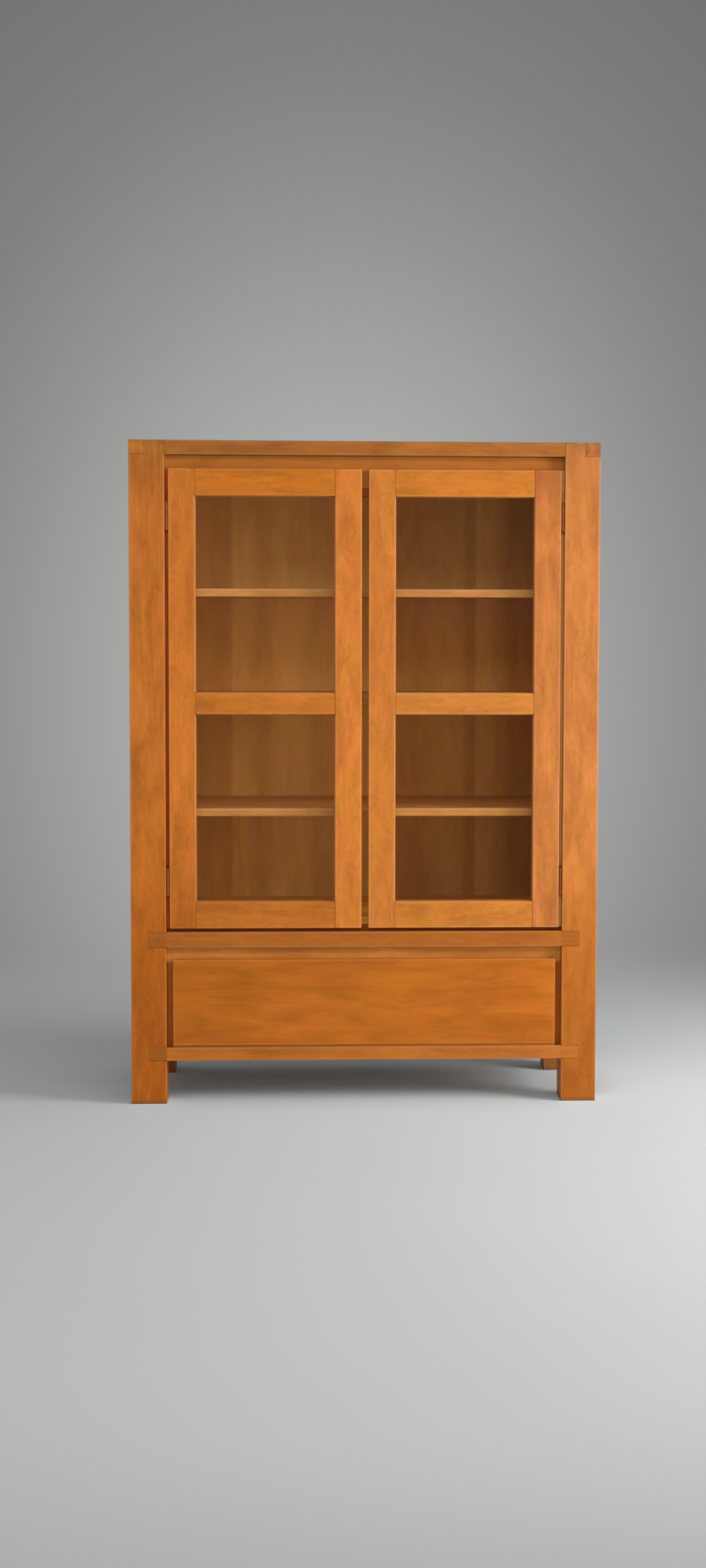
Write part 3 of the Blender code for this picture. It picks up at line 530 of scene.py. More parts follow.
class Nodes:
    """A material's node tree under construction: most methods add a node and return an output."""

    def __init__(self, tree):
        self.tree = tree

    def feed(self, node, inputs):
        """Set or link a node's inputs, by name or number."""
        for key, value in dict(inputs).items():
            if isinstance(value, bpy.types.NodeSocket):
                self.tree.links.new(value, node.inputs[key])
            else:
                node.inputs[key].default_value = value

    def node(self, kind, inputs=(), **settings):
        """Add a node with its settings and inputs, and return the node."""
        made = self.tree.nodes.new(kind)
        for key, value in settings.items():
            setattr(made, key, value)
        self.feed(made, inputs)
        return made

    def position(self):
        """The place on the object, in the object's own frame."""
        return self.node("ShaderNodeTexCoord").outputs["Object"]

    def ray(self, kind):
        """1 for a kind of ray, else 0."""
        return self.node("ShaderNodeLightPath").outputs[kind]

    def parts(self, vector):
        """The three numbers of a vector."""
        return self.node("ShaderNodeSeparateXYZ", {0: vector}).outputs

    def math(self, operation, *values):
        """One operation on one to three numbers."""
        return self.node("ShaderNodeMath", enumerate(values), operation=operation).outputs[0]

    def vector(self, operation, *values):
        """One operation on vectors."""
        made = self.node("ShaderNodeVectorMath", enumerate(values), operation=operation)
        return made.outputs["Value" if operation in ("LENGTH", "DOT_PRODUCT") else "Vector"]

    def moved(self, vector, scale=(1, 1, 1), location=(0, 0, 0), rotation=(0, 0, 0)):
        """A vector scaled, turned and shifted, in that order."""
        inputs = {"Vector": vector, "Scale": scale, "Location": location, "Rotation": rotation}
        return self.node("ShaderNodeMapping", inputs, vector_type="POINT").outputs[0]

    def noise(self, vector, detail=2.0, curl=0.0):
        """Cloudy values round 0.5, with clouds about one unit wide, curled by bending their own field."""
        inputs = {"Vector": vector, "Scale": 1.0, "Detail": detail, "Distortion": curl}
        return self.node("ShaderNodeTexNoise", {**inputs, "Roughness": NOISE_ROUGHNESS}).outputs[0]

    def between(self, value, low, high, start=0.0, end=1.0, smooth=True):
        """A step, smooth or straight, from start at low to end at high."""
        inputs = {"Value": value, "From Min": low, "From Max": high, "To Min": start, "To Max": end}
        kind = "SMOOTHSTEP" if smooth else "LINEAR"
        return self.node("ShaderNodeMapRange", inputs, interpolation_type=kind).outputs[0]

    def blend(self, share, first, second):
        """A colour from first at share 0 to second at share 1, on the mix node's sockets for colours."""
        made = self.node("ShaderNodeMix", data_type="RGBA")
        self.feed(made, {0: share, 6: first, 7: second})
        return made.outputs[2]

    def bump(self, height, strength, distance):
        """A bumped normal from a height."""
        inputs = {"Height": height, "Strength": strength, "Distance": distance}
        return self.node("ShaderNodeBump", inputs).outputs[0]

    def mixed_surface(self, share, first, second):
        """Make the material's surface a mix of two shader nodes."""
        mixed = self.node("ShaderNodeMixShader", {0: share, 1: first.outputs[0], 2: second.outputs[0]})
        self.feed(self.tree.nodes["Material Output"], {"Surface": mixed.outputs[0]})


def new_material(name):
    """A material with a Principled shader, and its nodes and shader."""
    material = bpy.data.materials.new(name)
    material.use_nodes = True
    return material, Nodes(material.node_tree), material.node_tree.nodes["Principled BSDF"]


def with_alpha(tint):
    """A tint as four numbers, the last one 1."""
    return (*tint, 1.0)


def opaque(colour, share=1.0):
    """A colour times share, at most 1, with alpha."""
    return with_alpha(min(1.0, part * share) for part in colour)


def grain_frame(low, high):
    """The axis of the longest side, and the turn that lays it along X."""
    axis = int(np.argmax(np.subtract(high, low)))
    turns = (Euler((0, 0, 0)), Euler((0, 0, -math.pi / 2)), Euler((0, math.pi / 2, 0)))
    return axis, turns[axis]


def matching(node, table, default=None):
    """The value of the first row in table whose key starts the node's name."""
    return next((value for start, value in table if node.startswith(start)), default)


class Board(Nodes):
    """The nodes of one board's wood, with the board's box, its grain, its seeded draws and its marks.

    The marks are the width of its staves, the boards that it is glued from, whose tones also paint
    light and shade, the tones of its lapped ends, the painted shade on its foot, its painted shade
    along the height, the strength of clouds and of curls, the boxes of the boards that it is glued
    to, and the colour in which other pieces see it.
    """

    def __init__(
        self, tree, box, seed, wood, staves=None, boards=(), laps=(), foot=None,
        height_tints=(), shares=(1, 1), neighbours=(), bounce=None,
    ):
        super().__init__(tree)
        self.wood, self.staves, self.boards, self.laps, self.foot = wood, staves, boards, laps, foot
        self.height_tints, self.shares, self.neighbours = height_tints, shares, neighbours
        self.bounce = bounce or wood.bounce
        self.low, self.high = (np.array(corner) for corner in box)
        self.axis, turn = grain_frame(self.low, self.high)
        self.middle = Vector((self.low + self.high) / 2)
        self.dice = np.random.default_rng(seed)
        self.place = self.position()
        self.centred = self.moved(self.place, location=-(turn.to_matrix() @ self.middle), rotation=turn)

    def figure(self, kind):
        """Noise of one part of the figure, from a stretch of its own."""
        along, across, detail, curl = FIGURES[kind]
        shift = self.dice.uniform(-FIGURE_SHIFT, FIGURE_SHIFT, 3)
        scaled = self.moved(self.centred, scale=(along, across, across), location=shift)
        return self.noise(scaled, detail, curl)

    def swing(self, value, strength):
        """A value round 0.5 as a tone round zero."""
        return self.math("MULTIPLY", self.math("SUBTRACT", value, 0.5), 2 * strength)

    def rings(self, spacing):
        """Growth rings: the distance from a pith beside the board, bent, folded once for each ring."""
        angle = self.dice.uniform(0, 2 * math.pi)
        reach = self.dice.uniform(*PITH_REACH)
        pith = (0.0, reach * math.cos(angle), reach * math.sin(angle))
        spokes = self.moved(self.centred, scale=(0.0, 1.0, 1.0), location=pith)
        wander = self.swing(self.figure("wander"), RING_WANDER)
        radius = self.math("ADD", self.vector("LENGTH", spokes), wander)
        turns = self.math("FRACT", self.math("DIVIDE", radius, spacing))
        return self.between(self.math("PINGPONG", turns, 0.5), 0.0, 0.5)

    def glued_boards(self):
        """Tone from 0 to 1 of boards side by side along X: each step fades in over the joint. The tones are
        partly the boards' own and partly painted light and shade.
        """
        across = self.parts(self.place)["X"]
        tone = self.boards[0][0]
        for (before, edge, fade), (after, *_) in zip(self.boards, self.boards[1:]):
            step = self.between(across, edge - fade, edge + fade, 0.0, after - before)
            tone = self.math("ADD", step, tone)
        return tone

    def glued_staves(self):
        """Tone of equal staves across the grain, each with a random tone, and a thin dark joint."""
        size = self.high - self.low
        size[self.axis] = 0
        across = self.parts(self.place)[int(np.argmax(size))]
        count = self.math("MULTIPLY_ADD", across, 1 / self.staves, self.dice.uniform(0, 1))
        number = self.math("FLOOR", count)
        drawn = self.node("ShaderNodeTexWhiteNoise", {"W": number}, noise_dimensions="1D").outputs["Value"]
        fold = self.math("PINGPONG", count, 0.5)
        seam = self.between(fold, 0.0, STAVE_JOINT / self.staves, STAVE_SEAM, 0.0)
        return self.math("ADD", self.swing(drawn, STAVE_SWING), seam)

    def depths(self):
        """Distance to the nearer face of the board's box along X, Y and Z."""
        off = self.vector("ABSOLUTE", self.vector("SUBTRACT", self.place, self.middle))
        return self.parts(self.vector("SUBTRACT", Vector((self.high - self.low) / 2), off))

    def edges(self, width):
        """1 on the board's edges, where the middle one of the three depths is near zero, else 0."""
        a, b, c = self.depths()
        nearest, other = self.math("MINIMUM", a, b), self.math("MAXIMUM", a, b)
        to_edge = self.math("MAXIMUM", nearest, self.math("MINIMUM", other, c))
        return self.between(to_edge, 0.0, width, 1.0, 0.0)

    def glued(self):
        """1 where a neighbour's box, a little larger, holds the place, else 0."""
        inside = 0.0
        for low, high in self.neighbours:
            off = self.vector("ABSOLUTE", self.vector("SUBTRACT", self.place, (low + high) / 2))
            reach = (high - low) / 2 + Vector((GLUE_REACH,) * 3)
            x, y, z = self.parts(self.vector("SUBTRACT", reach, off))
            least = self.math("MINIMUM", self.math("MINIMUM", x, y), z)
            inside = self.math("MAXIMUM", self.math("GREATER_THAN", least, 0.0), inside)
        return inside

    def lap_ends(self):
        """Tone of a rail's two ends, past the posts' inner faces."""
        across = self.parts(self.place)[self.axis]
        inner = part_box("post_front_right")[0][self.axis]
        left, right = self.laps
        left_end = self.between(across, -inner - JOINT_FADE, -inner + JOINT_FADE, left, 0.0)
        right_end = self.between(across, inner - JOINT_FADE, inner + JOINT_FADE, 0.0, right)
        return self.math("ADD", left_end, right_end)

    def tone(self, fibre, pore, ring, glued):
        """Tone from 0 to 1: a half, and the sum of the figure, the end grain, the joints and the painted
        shade on the foot.
        """
        wood, (broad, small) = self.wood, self.shares
        terms = [
            self.swing(ring, -wood.ring_strength),
            self.swing(fibre, wood.fibre_strength),
            self.swing(self.figure("cloud"), wood.cloud_strength * broad),
            self.swing(self.figure("flame"), wood.flame_strength * broad),
            self.swing(self.figure("curl"), wood.curl_strength * small),
            self.math("MULTIPLY", pore, -wood.pore_strength),
            self.between(self.depths()[self.axis], 0.0, END_DEPTH, -wood.end_darkness, 0.0),
        ]
        if self.staves:
            terms.append(self.glued_staves())
        if self.laps:
            terms.append(self.lap_ends())
        # Painted shade: the feet of posts darker near the floor.
        if self.foot:
            terms.append(self.between(self.parts(self.place)["Z"], *FOOT_SHADE_RISE, -self.foot, 0.0))
        if self.neighbours:
            joint = self.math("MULTIPLY", self.edges(JOINT_LINE), glued)
            terms.append(self.math("MULTIPLY", joint, -wood.joint_darkness))
        total = 0.5
        for term in terms:
            total = self.math("ADD", term, total)
        return self.between(total, 0.0, 1.0, smooth=False)

    def stained(self, tone, glued, light, dark):
        """Dark to light wood by its tone, with rosy and golden patches, and paler on its edges, partly from
        wear and partly a painted sheen.
        """
        wood = self.wood
        patch = self.between(self.figure("patch"), *PATCH_STEP)
        tinge = self.blend(patch, with_alpha(wood.rosy), with_alpha(wood.golden))
        colour = self.vector("MULTIPLY", self.blend(tone, opaque(dark), opaque(light)), tinge)
        # Paler edges: partly wear, partly a painted sheen.
        wear_and_sheen = self.math("MULTIPLY", self.edges(wood.edge_width), wood.edge_wear_and_sheen)
        wear_and_sheen = self.math("MULTIPLY", wear_and_sheen, self.math("SUBTRACT", 1.0, glued))
        return self.blend(wear_and_sheen, colour, opaque(np.multiply(light, wood.rubbed)))

    def shaded_along_height(self, colour, end, reach, tint):
        """A colour with painted shade: tinted towards the cabinet's foot or head, fading over the reach."""
        height = self.parts(self.place)["Z"]
        distance = height if end == "foot" else self.math("SUBTRACT", CAD_BOX[1][2], height)
        share = self.between(distance, *reach)
        return self.vector("MULTIPLY", colour, self.blend(share, with_alpha(tint), (1.0, 1.0, 1.0, 1.0)))

    def back_face(self, inside, plain):
        """The back panel's colour: its boards' tones, with painted light and shade, towards the display
        space, plain wood outside.
        """
        tints = self.blend(self.glued_boards(), *(with_alpha(tint) for tint in BACK_SHADE_AND_LIGHT_TINTS))
        outside = self.math("GREATER_THAN", self.parts(self.place)["Y"], self.middle.y)
        outer = self.vector("MULTIPLY", plain, BACK_OUTSIDE)
        return self.blend(outside, self.vector("MULTIPLY", inside, tints), outer)

    def finish(self, shader, light, dark):
        """Feed the shader with the board's colour, roughness and relief."""
        fibre = self.figure("fibre")
        pore = self.between(self.figure("pore"), *PORE_STEP)
        ring = self.rings(self.wood.ring_spacing)
        glued = self.glued()
        plain = self.stained(self.tone(fibre, pore, ring, glued), glued, light, dark)
        colour = plain
        # Painted shade: tints towards the cabinet's foot or head.
        for row in self.height_tints:
            colour = self.shaded_along_height(colour, *row)
        # Painted light and shade on the back panel's inner face, plain wood outside.
        if self.boards:
            colour = self.back_face(colour, plain)
        rough = self.math("MULTIPLY_ADD", fibre, FIBRE_ROUGHNESS, self.wood.roughness - FIBRE_ROUGHNESS / 2)
        relief = self.math("MULTIPLY_ADD", ring, RING_RELIEF, fibre)
        relief = self.math("MULTIPLY_ADD", pore, PORE_RELIEF, relief)
        inputs = {
            "Base Color": self.blend(self.ray("Is Diffuse Ray"), colour, opaque(self.bounce)),
            "Roughness": self.math("MULTIPLY_ADD", pore, PORE_ROUGHNESS, rough),
            "Normal": self.bump(relief, *WOOD_BUMP),
            "Specular IOR Level": WOOD_SPECULAR,
        }
        self.feed(shader, inputs)


def wood_material(name, box, seed, colours, wood, **marks):
    """Wood cut along the box's longest side, between a light and a dark colour, with a board's marks."""
    material, _, shader = new_material(name)
    Board(material.node_tree, box, seed, wood, **marks).finish(shader, *colours)
    return material


def streaked_material(name, colour):
    """One of the finishes, with fine streaks, soft blotches and matching roughness."""
    roughness, metallic, streaks = FINISHES[name]
    material, n, shader = new_material(name)
    place = n.position()
    streak = n.noise(n.moved(place, scale=streaks), FINE_DETAIL)
    blotch = n.noise(n.moved(place, scale=BLOTCHES))
    share = n.math("MULTIPLY_ADD", blotch, BLOTCH_SHARE, n.math("MULTIPLY", streak, 1 - BLOTCH_SHARE))
    inputs = {
        "Base Color": n.blend(share, *(opaque(colour, tint) for tint in STREAK_TINTS)),
        "Roughness": n.math("MULTIPLY_ADD", streak, STREAK_ROUGHNESS, roughness - STREAK_ROUGHNESS / 2),
        "Normal": n.bump(streak, *STREAK_BUMP),
        "Metallic": metallic,
        "Specular IOR Level": STREAK_SPECULAR,
    }
    n.feed(shader, inputs)
    return material


def glass_material(tint):
    """Clear coated glass that hardly mirrors and lets lamps through, with faint smears in its roughness."""
    material, n, shader = new_material("pane_glass")
    smear = n.noise(n.moved(n.position(), scale=SMEARS), FINE_DETAIL)
    inputs = {
        "Roughness": n.between(smear, *SMEAR_STEP, 0.0, SMEAR_ROUGHNESS),
        "Base Color": opaque(tint),
        "Transmission Weight": 1.0,
        "IOR": GLASS_IOR,
    }
    n.feed(shader, inputs)
    clear = n.node("ShaderNodeBsdfTransparent", {"Color": opaque(tint)})
    n.mixed_surface(n.math("MAXIMUM", n.ray("Is Shadow Ray"), n.ray("Is Diffuse Ray")), shader, clear)
    return material


def backdrop_light(n, way, studio):
    """The backdrop's colour in a direction: a bell round the point behind the cabinet, over grey."""
    off = n.vector("MULTIPLY", n.vector("SUBTRACT", way, GLOW_WAY), GLOW_SPREAD)
    bell = n.math("EXPONENT", n.math("MULTIPLY", n.vector("DOT_PRODUCT", off, off), -1.0))
    return n.blend(bell, opaque(studio.backdrop), opaque(studio.glow))


def slot_nodes(slot):
    """Names of the CAD nodes that the record gives a material slot, in order."""
    return [part["node"] for part in frame["record"]["subparts"] if part["material_slot"] == slot]


def dress(node, material):
    """Give a CAD node its one material."""
    slots = frame["nodes"][node].material_slots
    for slot in slots:
        slot.material = material
    if not slots:
        frame["nodes"][node].data.materials.append(material)


def dress_slot(slot, material):
    """Give every CAD node of a material slot the same material."""
    for node in slot_nodes(slot):
        dress(node, material)


def node_points(node):
    """The points of a CAD node's mesh."""
    vertices = frame["nodes"][node].data.vertices
    points = np.empty(len(vertices) * 3)
    vertices.foreach_get("co", points)
    return points.reshape(-1, 3)


def glued_neighbours(node):
    """Boxes of the wooden nodes on the same body that touch a node's box."""
    low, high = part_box(node)
    nodes, boxes = frame["nodes"], []
    for other in slot_nodes("cabinet_wood"):
        other_low, other_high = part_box(other)
        apart = max(*(low - other_high), *(other_low - high))
        together = body_of(nodes[other]) == body_of(nodes[node])
        if other != node and together and apart < GLUE_REACH:
            boxes.append((other_low, other_high))
    return boxes


def circles(radius, height, sides):
    """Rings round the Z axis: point (i, j) is (r_i cos t_j, r_i sin t_j, h), where h may differ in each."""
    angle = np.arange(sides) * 2 * math.pi / sides
    return np.stack(np.broadcast_arrays(radius * np.cos(angle), radius * np.sin(angle), height), -1)


def quarter_steps(count):
    """Angles of the points of a quarter circle."""
    return np.linspace(0, math.pi / 2, count)


def grid_quads(rows, columns, wrap_rows=False):
    """Quads between neighbours of a grid of points whose columns close on themselves."""
    count = rows if wrap_rows else rows - 1
    row, column = np.meshgrid(np.arange(count), np.arange(columns), indexing="ij")
    here, below = row * columns, (row + 1) % rows * columns
    beside = (column + 1) % columns
    return np.stack([here + column, here + beside, below + beside, below + column], -1).reshape(-1, 4)


def fan(pole, start, sides):
    """Triangles from a pole point to a ring whose points begin at start."""
    here = np.arange(sides)
    return np.stack([np.full(sides, pole), start + here, start + (here + 1) % sides], -1)


def capped(rings, poles):
    """A closed shape: a grid of points in rings, with fans to a first and a last pole."""
    count, sides = rings.shape[:2]
    end = count * sides
    first = fan(end, 0, sides)[:, [0, 2, 1]]
    last = fan(end + 1, end - sides, sides)
    return np.concatenate([rings.reshape(-1, 3), poles]), [grid_quads(count, sides), first, last]


def turned(profile, sides):
    """A turned solid: profile points (radius, height), the first and last of them poles on the Z axis."""
    profile = np.asarray(profile, float)
    rings = circles(profile[1:-1, :1], profile[1:-1, 1:], sides)
    return capped(rings, [[0, 0, profile[0, 1]], [0, 0, profile[-1, 1]]])


def screw_head(radius, rise):
    """A domed screw head with a cross recess, on a polar grid.

    Height is rise (1 - q^2) less a cross, where q is the radius over the head's and the cross is a
    steep bell of the smaller of |x| and |y| that fades out towards the rim.
    """
    q = np.linspace(0, 1, SCREW_RINGS + 1)[1:, None]
    off_cross = abs(circles(q, 0, SCREW_SIDES)[..., :2]).min(-1)
    bell = np.exp(-((off_cross / CROSS_WIDTH) ** CROSS_STEEPNESS))
    cross = bell * np.exp(-((q / CROSS_REACH) ** CROSS_FADE))
    z = rise * (1 - q**2) - CROSS_DEPTH * rise * cross
    dome = circles(radius * q, z, SCREW_SIDES)[::-1]
    skirt = dome[:1] - [0, 0, rise / 2]
    return capped(np.concatenate([skirt, dome]), [[0, 0, -rise / 2], [0, 0, (1 - CROSS_DEPTH) * rise]])


def rounded_box(low, high, radius, steps):
    """A box with round edges and corners, from a sphere split at its quadrants.

    A sphere of the radius is cut in eight and each piece is moved to its corner of the box less the
    radius, so the gaps between the pieces are the flat faces.
    """
    low, high = np.asarray(low, float), np.asarray(high, float)
    core, middle = (high - low) / 2 - radius, (low + high) / 2
    quarter = quarter_steps(steps + 1)
    across = np.concatenate([quarter + k * math.pi / 2 for k in range(4)])
    across_x = np.repeat([1, -1, -1, 1], steps + 1) * core[0]
    across_y = np.repeat([1, 1, -1, -1], steps + 1) * core[1]
    upward = np.concatenate([quarter - math.pi / 2, quarter])[:, None]
    shift_z = np.repeat([-1, 1], steps + 1)[:, None] * core[2]
    x = radius * np.cos(upward) * np.cos(across) + across_x
    y = radius * np.cos(upward) * np.sin(across) + across_y
    z = radius * np.sin(upward) + shift_z + 0 * across
    poles = [[*middle[:2], low[2]], [*middle[:2], high[2]]]
    return capped(np.stack([x, y, z], -1) + middle, poles)


def framed_strip(low, high, profile):
    """A strip round the inside of a rectangle in X and Z, mitred at its corners.

    Each profile point (inward, y) is carried round the rectangle, moved inward from all four sides.
    """
    inward, depth = np.transpose(profile)
    left, right = low[0] + inward, high[0] - inward
    foot, top = low[1] + inward, high[1] - inward
    corners = [(left, foot), (right, foot), (right, top), (left, top)]
    rings = np.stack([np.stack([x, depth, z], -1) for x, z in corners])
    return rings.reshape(-1, 3), [grid_quads(4, len(profile), wrap_rows=True)]


def joined(*shapes):
    """Several shapes as one."""
    starts = np.cumsum([0] + [len(points) for points, _ in shapes])
    faces = [rows + start for (_, arrays), start in zip(shapes, starts) for rows in arrays]
    return np.concatenate([points for points, _ in shapes]), faces


def repeated(shape, places, facing):
    """Copies of a shape at places, its Z axis turned to facing."""
    points, faces = shape
    turn = np.array(Vector((0, 0, 1)).rotation_difference(Vector(facing)).to_matrix())
    copies = (points @ turn.T)[None] + np.asarray(places, float)[:, None]
    return joined(*((copy, faces) for copy in copies))


def new_object(name, shape, materials):
    """A mesh object from an array of points and arrays of faces."""
    points, faces = shape
    mesh = bpy.data.meshes.new(name)
    mesh.from_pydata(points.tolist(), [], [face for rows in faces for face in rows.tolist()])
    for material in materials:
        mesh.materials.append(material)
    obj = bpy.data.objects.new(name, mesh)
    bpy.context.scene.collection.objects.link(obj)
    return obj


def piece(name, shape, materials, body, smooth=True, indices=None):
    """A cleaned mesh object that rides on a CAD body."""
    obj = new_object(name, shape, materials)
    mesh = obj.data
    if indices is not None:
        mesh.polygons.foreach_set("material_index", np.asarray(indices, np.int32))
    work = bmesh.new()
    work.from_mesh(mesh)
    bmesh.ops.remove_doubles(work, verts=work.verts, dist=MERGE)
    bmesh.ops.recalc_face_normals(work, faces=work.faces)
    work.to_mesh(mesh)
    work.free()
    mesh.polygons.foreach_set("use_smooth", np.full(len(mesh.polygons), smooth))
    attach(obj, body)
    return obj


class CabinetOperator(bpy.types.Operator):
    """Base of the cabinet's operators."""

    bl_options = {"REGISTER", "UNDO"}


class CABINET_OT_finish_wood(CabinetOperator):
    """Give every board of the cabinet its own piece of oiled wood"""

    bl_idname = "cabinet.finish_wood"
    bl_label = "Finish the wood"

    def execute(self, context):
        wood, tones = context.scene.cabinet_wood, context.scene.cabinet_tones
        for seed, node in enumerate(slot_nodes("cabinet_wood")):
            tone = getattr(tones, matching(node, WOOD_FAMILIES, "others"))
            # Each board's tint is partly its own tone and partly painted light and shade.
            tint = np.multiply(tone, BOARD_TONE_AND_LIGHT_TINTS.get(node, (1, 1, 1)))
            is_back = node == "back_panel"
            colours = (wood.back_light, wood.back_dark) if is_back else (wood.light, wood.dark)
            material = wood_material(
                f"wood_{node}",
                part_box(node),
                seed,
                [np.multiply(tint, colour) for colour in colours],
                wood,
                staves=matching(node, STAVE_WIDTHS),
                boards=BACK_BOARDS_AND_LIGHT if is_back else (),
                laps=LAP_TONES.get(node, ()),
                foot=matching(node, FOOT_SHADE_TONES),
                height_tints=[row for start, *row in HEIGHT_SHADE_TINTS if node.startswith(start)],
                shares=matching(node, FIGURE_SHARES, (1, 1)),
                neighbours=glued_neighbours(node),
                bounce=wood.inner_bounce if node.startswith(INNER_BOARDS) else None,
            )
            dress(node, material)
        return {"FINISHED"}


class CABINET_OT_finish_drawer_box(CabinetOperator):
    """Give the drawer box and its runners a plain pale wood, with dowels in the sides"""

    bl_idname = "cabinet.finish_drawer_box"
    bl_label = "Finish the drawer box"

    def execute(self, context):
        wood, radius = context.scene.cabinet_wood, context.scene.cabinet_fittings.plug_radius
        colours = (wood.drawer_light, wood.drawer_dark)
        for seed, node in enumerate(slot_nodes("drawer_wood"), DRAWER_BOX_SEED):
            staves = matching(node, STAVE_WIDTHS)
            dress(node, wood_material(f"wood_{node}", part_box(node), seed, colours, wood, staves=staves))
        plug = turned(np.multiply(DOWEL_PROFILE, (radius, radius * DOWEL_RISE)), DOWEL_SIDES)
        reach = Vector((DOWEL_LENGTH / 2, radius, radius))
        for seed, (side, word) in enumerate(SIDES, DOWEL_SEED):
            low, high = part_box(f"drawer_side_{word}")
            face = low.x if side < 0 else high.x
            columns = (low.y + DOWEL_FROM_FRONT, high.y - DOWEL_FROM_BACK)
            rows = (low.z + DOWEL_FROM_EDGE, high.z - DOWEL_FROM_EDGE)
            shape = repeated(plug, [(face, y, z) for y in columns for z in rows], (side, 0, 0))
            name = f"drawer_dowels_{word}"
            material = wood_material(name, (-reach, reach), seed, (wood.drawer_dark, wood.dark), wood)
            piece(name, shape, [material], "drawer")
        return {"FINISHED"}


class CABINET_OT_glaze_doors(CabinetOperator):
    """Glaze the doors: clear panes, a sealing line in front and a wooden bead behind each"""

    bl_idname = "cabinet.glaze_doors"
    bl_label = "Glaze the doors"

    def execute(self, context):
        fittings, wood = context.scene.cabinet_fittings, context.scene.cabinet_wood
        dress_slot("pane_glass", glass_material(fittings.glass_tint))
        sealing = streaked_material("glazing_seal", fittings.seal_colour)
        for seed, (_, word) in enumerate(SIDES, BEAD_SEED):
            door = f"door_{word}"
            stiles = [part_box(f"{door}_{kind}_stile") for kind in ("meeting", "hinge")]
            stiles.sort(key=lambda box: box[0].x)
            rails = [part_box(f"{door}_{kind}_rail") for kind in ("bottom", "middle", "top")]
            bays = {"lower": (rails[0][1].z, rails[1][0].z), "upper": (rails[1][1].z, rails[2][0].z)}
            left, right, rear = stiles[0][1].x, stiles[1][0].x, stiles[0][1].y
            for level in LEVELS:
                foot, top = bays[level]
                opening = ((left, foot), (right, top))
                front, back = (corner.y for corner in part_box(f"{door}_{level}_pane"))
                seal = framed_strip(*opening, self.seal_profile(front, fittings.seal_width))
                piece(f"{door}_{level}_seal", seal, [sealing], door, smooth=False)
                self.bead(f"{door}_{level}_bead", opening, (back, rear), fittings, wood, seed, door)
        return {"FINISHED"}

    def seal_profile(self, face, width):
        """A hollow quarter round on the pane's front: inward w (1 - sin t), forward w (1 - cos t)."""
        t = quarter_steps(SEAL_STEPS)
        curve = np.stack([width * (1 - np.sin(t)), face - width * (1 - np.cos(t))], -1)
        behind = face + SEAL_SINK
        return np.concatenate([curve, [[-SEAL_SINK, face - width], [-SEAL_SINK, behind], [width, behind]]])

    def bead(self, name, opening, depth, fittings, wood, seed, body):
        """A quarter round bead on the pane's rear: inward w cos t, backward d sin t."""
        (left, foot), (right, top) = opening
        front, rear = depth
        width, start, thick = fittings.bead_width, front + BEAD_GAP, (rear - front) * BEAD_SHARE
        t = quarter_steps(BEAD_STEPS)
        curve = np.stack([width * np.cos(t), start + thick * np.sin(t)], -1)
        profile = np.concatenate([curve, [[BEAD_GAP, start + thick], [BEAD_GAP, start]]])
        corner = Vector((left, front, foot))
        boxes = {
            "rails": (corner, Vector((right, rear, foot + width))),
            "stiles": (corner, Vector((left + width, rear, top))),
        }
        colours = (wood.light, wood.dark)
        woods = [wood_material(f"{name}_{way}", box, seed, colours, wood) for way, box in boxes.items()]
        indices = np.repeat([0, 1, 0, 1], len(profile))
        strip = framed_strip(*opening, profile)
        piece(name, strip, woods, body, smooth=False, indices=indices)


